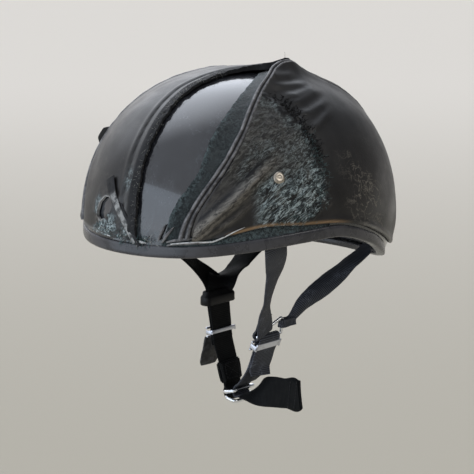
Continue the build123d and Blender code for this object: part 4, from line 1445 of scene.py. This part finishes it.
def add_left_front_strap():
    """From its rivet to the triangular ring's front side, narrowing as it gathers."""
    stations, across = hanger_stations(RIVETS["left_front"], -2.2)
    top = stations[-1][0]
    stations[-1] = (top, (0.15, 0.98, 0), 22.5, 0.3)
    side = RING_TOP - RING_FRONT
    foot = RING_FRONT + side * 0.36
    steps = ((0.28, (-0.10, 0.99, 0), 19, 1.3, 2.0), (0.60, (-0.55, 0.82, -0.1), 17, 2.6, 0.5),
             (0.78, (-0.30, 0.93, 0.10), 17, 2.2, 0))
    for t, across, width, cup, aside in steps:
        stations.append((leg_point(top, foot, t, (aside, aside, 0)), across, width, cup))
    stations += eye_stations(foot, side, foot - top, 17.5, 1.0, 17, -1)
    piece = band("left_front_webbing", stations, WEB_GREY, seed=61)
    show_leg(piece, "webbing_worn", top, foot, 0.45, 0.93, "left_front_strap",
             "left_front_strap_loop")


def add_left_rear_strap():
    """From its rivet, turning over on its way to the triangular ring's rear side."""
    stations, across = hanger_stations(RIVETS["left_rear"], -38)
    across = -across
    stations = [(centre, across, *rest) for centre, _, *rest in stations]
    top = stations[-1][0]
    side = RING_TOP - RING_REAR
    foot = RING_REAR + side * 0.62
    low_across = np.array([0.1, 0.48, -0.87])
    for t, width, cup, turn in ((0.25, 23, 2.2, 0.1), (0.5, 18, 3.4, 0.4), (0.75, 12, 3.4, 0.75)):
        mix = unit(across) * (1 - turn) + low_across * turn
        stations.append((leg_point(top, foot, t), mix, width, cup))
    stations += eye_stations(foot, -side, foot - top, 7.0, 1.2, 14)
    piece = band("left_rear_webbing", stations, WEB_GREY, seed=71)
    show_leg(piece, "webbing_worn", top, foot, 0.5, 0.93, "left_rear_strap",
             "left_rear_strap_loop")


def add_right_strap(outer):
    """One ply of the right webbing, from its rivet through the divider and the slide."""
    name = "right_front" if outer else "right_rear"
    stations, across = hanger_stations(RIVETS[name], -2.2 if outer else -37)
    across = across * (1 if across[1] > 0 else -1)
    stations = [(centre, across, *rest) for centre, _, *rest in stations]
    top = stations[-1][0]
    ply = 0.95 if outer else -0.95
    foot = DIVIDER + np.array([-0.706, 0, -0.708]) * ply
    slide_x = SLIDE[0] - ply
    bend = np.array([5.5, 12.0, 0.0]) * outer
    aside = np.array([-0.44, 0.89, -0.08] if outer else [0.55, 0.70, 0.30])
    for t, turn in ((0.3, 0.5), (0.62, 0.97)):
        mix = unit(across) * (1 - turn) + unit(aside) * turn
        width = WEB_WIDTH if outer else WEB_WIDTH - 4.5 * turn
        stations.append((leg_point(top, foot, t, bend * turn), mix, width, 0.8 * (1 - turn)))
    stations += [at(foot[0], foot[2]), at(DIVIDER[0] - ply + 0.8, -79, 24.2),
                 at((DIVIDER[0] * 0.4 + SLIDE[0] * 0.6) - ply, -88, 23.4),
                 at(slide_x, -97, 23), at(slide_x + 0.5, -103, 23),
                 at(slide_x + 1.6, -113 if outer else -108, 22.6)]
    piece = band(name + "_webbing", stations, WEB_DARK, seed=81 if outer else 85)
    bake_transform(piece)
    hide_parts(name + "_strap", *(["right_strap_loop"] if outer else []))


def add_left_chin_strap():
    """One length: short free end, round the ring's base, down through the D-rings."""
    bar = (28.0, -98.5)
    stations = [at(20.8, -132.6, 22, 1.2, y=-4.6), at(19.3, -127.5, 24.0, 0.4),
                at(22.0, -119.5), at(25.6, -110.0), at(30.0, -101.6)]
    stations += arc(bar, EYE, (10, 50, 90, 130, 170), 24.0)
    stations += [at(25.3, -103.4), at(22.5, -112.0), at(16.6, -126.8), at(9.8, -136.6),
                 at(3.6, -141.9, 22, y=-2.5), at(-1.9, -145.2, 19, y=RING_Y),
                 at(-4.0, -148.2, 19, y=RING_Y), at(-4.3, -151.4, 19, y=RING_Y),
                 at(-2.9, -153.8, 19, y=RING_Y), at(0.0, -153.9, 19, y=RING_Y),
                 at(3.2, -152.2, 19, y=RING_Y)]
    piece = band("left_chin_webbing", stations, WEB_GREY, seed=91)
    show(piece, "chin_loop", "webbing_worn", "left_chin_strap")


def add_tail():
    """The loose end beyond the D-rings, with its folded and stitched hem."""
    stations = [at(2.2, -152.9, 19, y=RING_Y), ((10.4, -2.4, -149.8), (0, 1, 0.45), 21, 0.8),
                ((19.4, -3.4, -147.0), (0, 0.6, 0.9), 24, 1.0),
                ((31.5, -4.4, -144.4), (0, 0.2, 1), 25, 1.4),
                ((48, -5.0, -142.2), (0.10, 0.03, 1), 25, 0.8),
                ((64.5, -5.5, -140.3), (0.20, 0, 1), 24.6, 0.3),
                ((66.0, -5.5, -140.1), (0.22, 0, 1), 22.0, 0.3)]
    piece = band("tail_webbing", stations, WEB_DARK, seed=95)
    show(piece, "tail", "webbing", "chin_strap_tail")
    for sign in (1, -1):
        fold = [((53.5, -5.1 + sign * 1.45, -141.6), (0.12, 0, 1), 24.4, 0.3),
                ((59, -5.3 + sign * 1.5, -140.9), (0.16, 0, 1), 24.6, 0.3),
                ((64.8, -5.5 + sign * 1.1, -140.2), (0.20, 0, 1), 23.4, 0.3)]
        show(band(f"tail_hem_{sign + 1}", fold, WEB_DARK, 1.3, 97 + sign), "tail", "webbing")
    slant, near_row, far_row = 0.12, 55.0, 61.8      # the two rows of stitches, across x
    spots = [(x + slant * rise, -7.55, -141.3 + (x - near_row) * 0.16 + rise)
             for x in (near_row, far_row) for rise in np.arange(-10.5, 10.6, 3.0)]
    seam = stitches("tail_stitches", spots, [(slant, 0, 1)] * len(spots),
                    [(0, -1, 0)] * len(spots), THREAD_DARK)
    show(seam, "tail", "webbing")


def add_right_chin_strap():
    """From the slide down, round both D-rings' straight bars and back up."""
    radius = RING_WIRE + 0.4 + WEB / 2
    path = [at(-24.3, -99.6, 23), at(-23.6, -104.2, 23), at(-21.9, -112.0, 22.6, y=-3.6),
            at(-17.9, -126.5, 21.5, y=-2.6), at(-14.3, -144.2, 19.6, y=RING_Y)]
    for bar, degrees in ((BAR_A, (140, 165, 195)), (BAR_B, (205, 245, 285, 325, 5)),
                         (BAR_A, (5, 40, 75))):
        path += arc(bar, radius, degrees, 19, RING_Y)
    path += [at(-13.1, -147.2, 19, y=RING_Y), at(-13.6, -144.8, 19, y=RING_Y)]
    piece = band("right_chin_webbing", path, WEB_DARK, seed=101)
    show(piece, "chin_loop", "webbing", "right_chin_strap")


def add_sewn_block():
    """The thick stitched block on the right chin strap: two layers on each side."""
    across = np.array([0.0, 1.0, 0.0])
    top, foot = np.array([-17.9, -2.6, -126.5]), np.array([-14.2, -1.6, -144.5])
    way = unit(foot - top)
    out = np.cross(across, way)
    for sign in (1, -1):
        for layer, reach in ((1.75, 0.0), (2.95, 1.2)):
            shift = out * sign * layer
            stations = [(top + shift + way * (0.4 + reach), across, 21.6, 0.15),
                        (top + shift * 1.04 + way * 9, across, 21.2, 0.2),
                        (foot + shift - way * (0.2 + reach), across, 19.8, 0.15)]
            piece = band(f"sewn_layer_{sign + 1}_{int(layer)}", stations, WEB_DARK, 1.25,
                         111 + sign)
            nodes = ("right_sewn_block",) if sign == 1 and layer < 2 else ()
            show(piece, "chin_loop", "webbing", *nodes)
    spots, ways, normals = [], [], []
    corners = ((-8, 2.6), (8, 2.6), (8, 15.4), (-8, 15.4), (-8, 2.6), (8, 15.4),
               (8, 2.6), (-8, 15.4))
    for start, end in zip(corners[:-1], corners[1:]):
        start, end = np.array(start), np.array(end)
        length = np.linalg.norm(end - start)
        for t in np.arange(1.4, length - 0.6, 2.9) / length:
            u, v = start + (end - start) * t
            for sign in (1, -1):
                spots.append(top + across * u + way * v + out * sign * 3.62)
                ways.append(across * (end - start)[0] + way * (end - start)[1])
                normals.append(out * sign)
    seam = stitches("sewn_stitches", spots, ways, normals, THREAD_DARK, 2.3)
    show(seam, "chin_loop", "webbing")


# ------------------------------------------------------------------ metal and plastic parts
def rounded_loop(corners, radius, steps=8):
    """A closed path through corners, each rounded."""
    corners = [np.array(corner, float) for corner in corners]
    path = []
    for i, corner in enumerate(corners):
        before = unit(corners[i - 1] - corner)
        after = unit(corners[(i + 1) % len(corners)] - corner)
        angle = math.acos(np.clip(before.dot(after), -1, 1))
        setback = radius / math.tan(angle / 2)
        middle = unit(before + after)
        centre = corner + middle * (radius / math.sin(angle / 2))
        start, end = corner + before * setback, corner + after * setback
        for t in np.linspace(0, 1, steps):
            arm = unit(unit(start - centre) * (1 - t) + unit(end - centre) * t)
            path.append(centre + arm * radius)
    path = np.array(path)
    longer = [path[0]]
    for here, ahead in zip(path, np.roll(path, -1, axis=0)):
        gap = np.linalg.norm(ahead - here)
        cuts = max(int(gap / 1.2), 1)
        longer += [here + (ahead - here) * k / cuts for k in range(1, cuts + 1)]
    return np.array(longer[:-1])


def ring(name, corners, bend, wire, material):
    path = rounded_loop(corners, bend)
    flat = np.cross(np.array(corners[1]) - corners[0], np.array(corners[2]) - corners[0])
    normals = np.tile(unit(flat), (len(path), 1))
    return sweep(name, path, normals, circle_profile(wire, 14), material, closed=True, sharp=80)


def add_rings():
    corners = [tuple(RING_FRONT), tuple(RING_REAR), tuple(RING_TOP)]
    show(ring("triangle_wire", corners, 1.8, 1.4, STEEL_M), "chin_loop", "steel",
         "left_triangle_ring")
    low, high = RING_Y - RING_HALF, RING_Y + RING_HALF
    for name, node, bar, curve in (("upper_ring", "upper_d_ring", BAR_A, CURVE_A),
                                   ("lower_ring", "lower_d_ring", BAR_B, CURVE_B)):
        corners = [(bar[0], low, bar[1]), (bar[0], high, bar[1]),
                   (curve[0], high, curve[1]), (curve[0], low, curve[1])]
        show(ring(name + "_wire", corners, 3.2, RING_WIRE, STEEL_M), name, "steel", node)


def rounded_box(size, radius, segments=3):
    """Points and faces of a box with rounded edges, about its middle."""
    shape = bmesh.new()
    bmesh.ops.create_cube(shape, size=1.0)
    for vertex in shape.verts:
        vertex.co = Vector(a * b for a, b in zip(vertex.co, size))
    bmesh.ops.bevel(shape, geom=shape.edges[:], offset=radius, segments=segments,
                    profile=0.5, affect="EDGES")
    bmesh.ops.triangulate(shape, faces=shape.faces[:])
    points = np.array([vertex.co for vertex in shape.verts])
    faces = np.array([[vertex.index for vertex in face.verts] for face in shape.faces])
    shape.free()
    return points, faces


def joined(name, pieces, material, sharp=40):
    """One mesh from several (points, faces)."""
    base, points, faces = 0, [], []
    for these, indices in pieces:
        points.append(these)
        faces.append(indices + base)
        base += len(these)
    return new_mesh(name, np.concatenate(points), np.concatenate(faces), material, sharp)


SLIDE_GAP, SLIDE_HEIGHT, SLIDE_BAR = 4.3, 9.0, 1.8
SLIDE_INSIDE = 13.25    # from a slide's middle to its side members


def slide_pieces(top, foot, drop, width, bar_size, bar_rise, rail_height):
    """The five rounded members of a three-bar slide on a straight run from top to foot."""
    top, foot = np.array(top, float), np.array(foot, float)
    up = unit(top - foot)
    across = np.array([0.0, 1.0, 0.0])
    normal = np.cross(across, up)
    origin = top - up * drop
    half_gap, bar = SLIDE_GAP / 2 + SLIDE_BAR / 2, SLIDE_BAR
    end = SLIDE_HEIGHT / 2 - bar / 2
    rail = width / 2 - SLIDE_INSIDE
    members = [((0, -half_gap, height), (width, bar, bar)) for height in (-end, end)]
    members.append(((0, half_gap, bar_rise), (bar_size[0], bar, bar_size[1])))
    members += [((side * (SLIDE_INSIDE + rail / 2), 0, 0),
                 (rail, SLIDE_GAP + 2 * bar, rail_height)) for side in (-1, 1)]
    pieces = []
    for place, size in members:
        points, faces = rounded_box(size, 0.55)
        points += place
        pieces.append((origin + points[:, :1] * across + points[:, 1:2] * normal
                       + points[:, 2:] * up, faces))
    return pieces


def add_slides():
    left = slide_pieces((27.6, MID_Y, -100.5), (17.0, MID_Y, -126.5), 5.2, 29.0,
                        (29.0, 5.8), 1.7, 4.6)
    show(joined("left_slide_plate", left, SLIDE_M), "adjuster", "slide", "left_adjuster")
    right = slide_pieces(DIVIDER, (SLIDE[0], MID_Y, SLIDE[2]), 33.1, 28.4, (28.4, 3.4), 0.5,
                         3.4)
    show(joined("right_slide_plate", right, SLIDE_M), "chin_loop", "slide", "right_slide")


SLEEVE_PROFILE = ((-1.0, -9.6), (-0.6, -10.0), (1.5, -10.0), (2.2, -9.3), (2.1, -3.6),
                  (1.5, -2.2), (0.6, -1.4), (0.2, 1.2), (-0.3, 1.8), (-0.8, 1.8), (-1.0, 1.2))


def add_divider():
    """The moulded sleeve that both right straps go through."""
    corners = [DIVIDER + np.array([x, y, 0]) * (3.3, 15.6, 0)
               for x, y in ((-1, -1), (1, -1), (1, 1), (-1, 1))]
    path = rounded_loop(corners, 2.4)
    normals = np.tile([0.0, 0.0, 1.0], (len(path), 1))
    piece = sweep("divider_sleeve", path, normals, SLEEVE_PROFILE, PLASTIC_M, closed=True,
                  sharp=50)
    show(piece, "helmet", "divider", "right_divider")


SNAP_PROFILE = ((0.4, 0.0), (5.0, 0.0), (5.25, 0.35), (5.2, 0.9), (4.7, 1.3), (3.9, 1.25),
                (3.5, 1.5), (3.3, 2.2), (2.9, 2.6), (2.2, 2.5), (1.7, 1.6), (0.5, 1.5))


def add_flap():
    """The leathercloth leaf that hangs from the right slide, with its round snap."""
    x, y, z = -28.6, -8.5, -106.4
    leaf = ((0, 0, 20.6, 0.5), (0.8, 4, 21, 0.5), (2.2, 11, 21, 0.6), (4.4, 18, 20.6, 0.6),
            (5.6, 23.4, 20.0, 0.5), (6.2, 26.0, 17.0, 0.5))      # (out, down, width, cup)
    stations = [at(x - out, z - down, width, cup, y=y) for out, down, width, cup in leaf]
    show(band("flap_leaf", stations, FLAP_M, 1.4, 121), "flap", "flap", "snap_flap")
    axis = unit(np.array([-1, 0, 0.3]))
    centre = np.array([x - 4.6, y - 0.5, z - 17.0]) + axis
    show(lathe("snap_button", SNAP_PROFILE, centre, axis, STEEL_M, 40), "flap", "steel",
         "snap_socket")


# ------------------------------------------------------------------ liner and pads
def closed_form(name, outside, inside, faces, material, sag=0.0):
    """A solid between two matching surfaces; its edge wall bows down by `sag`."""
    edges = border_edges(faces)
    count = len(outside)
    loop = np.unique(edges)
    spot = np.full(count, -1)
    spot[loop] = np.arange(len(loop))
    points, rows = [outside, inside], [edges]
    for step, t in enumerate((0.2, 0.5, 0.8)):
        between = outside[loop] * (1 - t) + inside[loop] * t
        points.append(between - np.array([0.0, 0.0, sag]) * (4 * t * (1 - t)))
        rows.append(2 * count + step * len(loop) + spot[edges])
    rows.append(edges + count)
    walls = [np.stack([a[:, 1], a[:, 0], b[:, 0], b[:, 1]], axis=1)
             for a, b in zip(rows[:-1], rows[1:])]
    return new_mesh(name, np.concatenate(points), [faces, faces[:, ::-1] + count, *walls],
                    material, 50)


def strap_pocket(points):
    """1 where a strap's upper end lies between the shell and the foam."""
    mask = np.zeros(len(points))
    for rivet in RIVETS.values():
        place, _ = rivet_place(rivet)
        side = np.abs((points - place) @ (unit(rivet_across(rivet)) * [1, 1, 0]))
        facing = (points[:, :2] @ place[:2]) > 0
        near = smooth(side, 17, 14) * smooth(points[:, 2], rivet[1] + 20, rivet[1] + 14)
        mask = np.maximum(mask, near * facing)
    return mask


def add_liner():
    points, faces = clip(dome_mesh(80), lambda p: above_rim(p, 8.0))
    outside = lift(points, -5.6 - 3.8 * strap_pocket(points))
    inside = dome_hit(np.zeros_like(points), unit(points), FOAM_INSIDE)
    piece = closed_form("foam_liner", outside, inside, faces, FOAM_M, 2.0)
    show(piece, "helmet", "foam", "impact_liner")


# Each pad's direction from the middle, its half size, whether it is round, and its fill
PADS = {
    "crown_pad": ((0, 0, 1), (46, 46), True, 0.7),
    "brow_pad": ((0, -1, 0.12), (44, 17), False, 0.62),
    "left_side_pad": ((1, -0.06, 0.28), (38, 15), False, 0.6),
    "right_side_pad": ((-1, -0.06, 0.28), (38, 15), False, 0.6),
    "nape_pad": ((0, 1, -0.09), (46, 20), False, 0.62),
}
PAD_POINTS = 26         # points along each side of a pad
PAD_REACH = 130.0       # further from the middle than any pad


def pad_grid(middle, half, is_round):
    """A patch of foam seen along `middle`: points on its back and its front."""
    middle = unit(np.array(middle, float))
    aside = np.array([1.0, 0, 0]) if is_round else unit(np.cross([0, 0, 1], middle))
    upward = np.cross(middle, aside)
    line = np.linspace(-1, 1, PAD_POINTS)
    u, v = np.meshgrid(line, line, indexing="ij")
    reach = 1 - np.maximum(np.abs(u), np.abs(v))
    if is_round:
        u, v = u * np.sqrt(1 - v * v / 2), v * np.sqrt(1 - u * u / 2)
    else:
        pull = 1 - 0.11 * (u * v) ** 2
        u, v = u * pull, v * pull
    start = (aside * (u * half[0])[..., None] + upward * (v * half[1])[..., None]).reshape(-1, 3)
    way = np.tile(middle, (len(start), 1))
    back = dome_hit(start, way, FOAM_INSIDE, PAD_REACH)
    front = dome_hit(start, way, HEAD, PAD_REACH)
    return back, front, grid_triangles(PAD_POINTS, PAD_POINTS), reach.ravel(), middle


def inflate(piece, limit=1.2):
    """Fills a stitched cloth piece with pressure, and keeps each point near its start."""
    start = np.zeros(len(piece.data.vertices) * 3)
    piece.data.vertices.foreach_get("co", start)
    cloth = piece.modifiers.new("fill", "CLOTH")
    settings = cloth.settings
    settings.quality = 5
    settings.mass = 0.3
    settings.use_pressure = True
    settings.uniform_pressure_force = 4.0
    settings.effector_weights.gravity = 0.0
    scene = bpy.context.scene
    cloth.point_cache.frame_start, cloth.point_cache.frame_end = 1, 20
    for number in range(1, 21):
        scene.frame_set(number)
    bpy.context.view_layer.update()
    done = piece.evaluated_get(bpy.context.evaluated_depsgraph_get())
    moved = np.zeros(len(start))
    done.data.vertices.foreach_get("co", moved)
    piece.modifiers.remove(cloth)
    scene.frame_set(1)
    shift = (moved - start).reshape(-1, 3)
    size = np.linalg.norm(shift, axis=1, keepdims=True)
    shift *= np.minimum(1, limit * MM / np.maximum(size, 1e-9))
    piece.data.vertices.foreach_set("co", (start.reshape(-1, 3) + shift).ravel())
    piece.data.update()


def add_pads():
    for name, (middle, half, is_round, fill) in PADS.items():
        back, front, faces, reach, way = pad_grid(middle, half, is_round)
        depth = front - back
        swell = smooth(reach, 0, 0.34) ** 0.6
        quilt = 1 - 0.16 * bump(reach - 0.30, 0.05)
        inner = back + depth * (0.10 + 0.78 * swell * quilt)[:, None]
        outer = back + depth * 0.05
        turned = np.cross(inner[faces[0, 1]] - inner[faces[0, 0]],
                          inner[faces[0, 2]] - inner[faces[0, 0]]).dot(way) > 0
        faces = faces if turned else faces[:, ::-1]
        piece = closed_form(name + "_cushion", outer, inner, faces, LINING_M)
        outward_faces(piece)
        inflate(piece)
        show(piece, "helmet", "pad", name)


WASHER_PROFILE = ((2.5, -5.7), (6.4, -5.7), (6.95, -5.85), (7.0, -6.2), (6.8, -6.5),
                  (6.2, -6.6), (2.5, -6.6))


def add_washers():
    for name, rivet in RIVETS.items():
        nodes = ("rivet_washers",) if name == "left_front" else ()
        show(lathe(name + "_washer", WASHER_PROFILE, *rivet_place(rivet), STEEL_M, 32),
             "helmet", "steel", *nodes)


# ------------------------------------------------------------------ the room
SKY_COLOURS = ((0.24, (0.55, 0.54, 0.52, 1)), (0.42, (0.80, 0.765, 0.73, 1)),
               (0.55, (0.62, 0.61, 0.61, 1)))           # between the floor's and the top's
# A direction, from what to what the ray faces it, and the brightness from and to
SKY_GLOW = ((-0.55, 0.35, 0.76), (0.62, 1.0, 1.0, 3.5))       # a soft glow above and behind
DARK_SIDE = ((0.80, 0.55, 0.22), (-0.05, 0.80, 1.1, 0.22))    # the room is darker there


def add_world():
    """A pale studio: greyer towards the floor, with a wide soft glow above and behind."""
    world = bpy.data.worlds.new("studio")
    world.use_nodes = True
    tree = Nodes(world.node_tree)
    way = tree.node("TexCoord").outputs["Generated"]
    height = tree.node("SeparateXYZ", way).outputs[2]
    ramp = tree.node("ValToRGB", tree.step(height, -0.6, 0.6, kind="LINEAR"))
    stops = ramp.color_ramp.elements
    stops[0].position, stops[0].color = 0.0, (0.40, 0.42, 0.45, 1)
    stops[1].position, stops[1].color = 1.0, (0.66, 0.70, 0.77, 1)
    for place, colour in SKY_COLOURS:
        stops.new(place).color = colour
    facing = [tree.step(tree.node("VectorMath", way, direction,
                                  settings={"operation": "DOT_PRODUCT"}).outputs["Value"], *limits)
              for direction, limits in (SKY_GLOW, DARK_SIDE)]
    ground = tree.nodes["Background"]
    tree.put(ground.inputs["Color"], ramp.outputs["Color"])
    tree.put(ground.inputs["Strength"], tree.math("MULTIPLY", *facing))
    bpy.context.scene.world = world
    bpy.context.scene.view_settings.view_transform = "Standard"


def add_lights():
    back, right, up = view_axes()
    add_area("low_front", (-0.28, -1.36, 0.05), (2.1, 1.3), 11.5, (0.70, 0.83, 1.0))
    add_area("key", right * 1.5 + back * 1.1 + up * 1.2, (1.0, 1.0), 10, (1.0, 0.97, 0.93))
    add_world()


def add_floor():
    far, level = 4e4, -1500.0
    corners = np.array([(x * far, y * far, level) for x, y in ((-1, -1), (1, -1), (1, 1), (-1, 1))])
    new_mesh("floor", corners, np.array([[0, 1, 2, 3]]), floor_material())


# ------------------------------------------------------------------ build everything
add_camera()
add_lights()
add_floor()
add_shell()
add_left_panel()
add_right_panel()
add_centre_panel()
add_backing()
add_lower_lining()
add_cords()
add_hanging_strip()
add_bare_edges()
add_fibres()
add_welt(1, "left_welt", "left_seam_welt")
add_welt(-1, "right_welt", "right_seam_welt")
add_trim()
add_rivets()
add_liner()
add_pads()
add_washers()
add_left_front_strap()
add_left_rear_strap()
add_right_strap(True)
add_right_strap(False)
add_left_chin_strap()
add_tail()
add_right_chin_strap()
add_sewn_block()
add_rings()
add_slides()
add_divider()
add_flap()
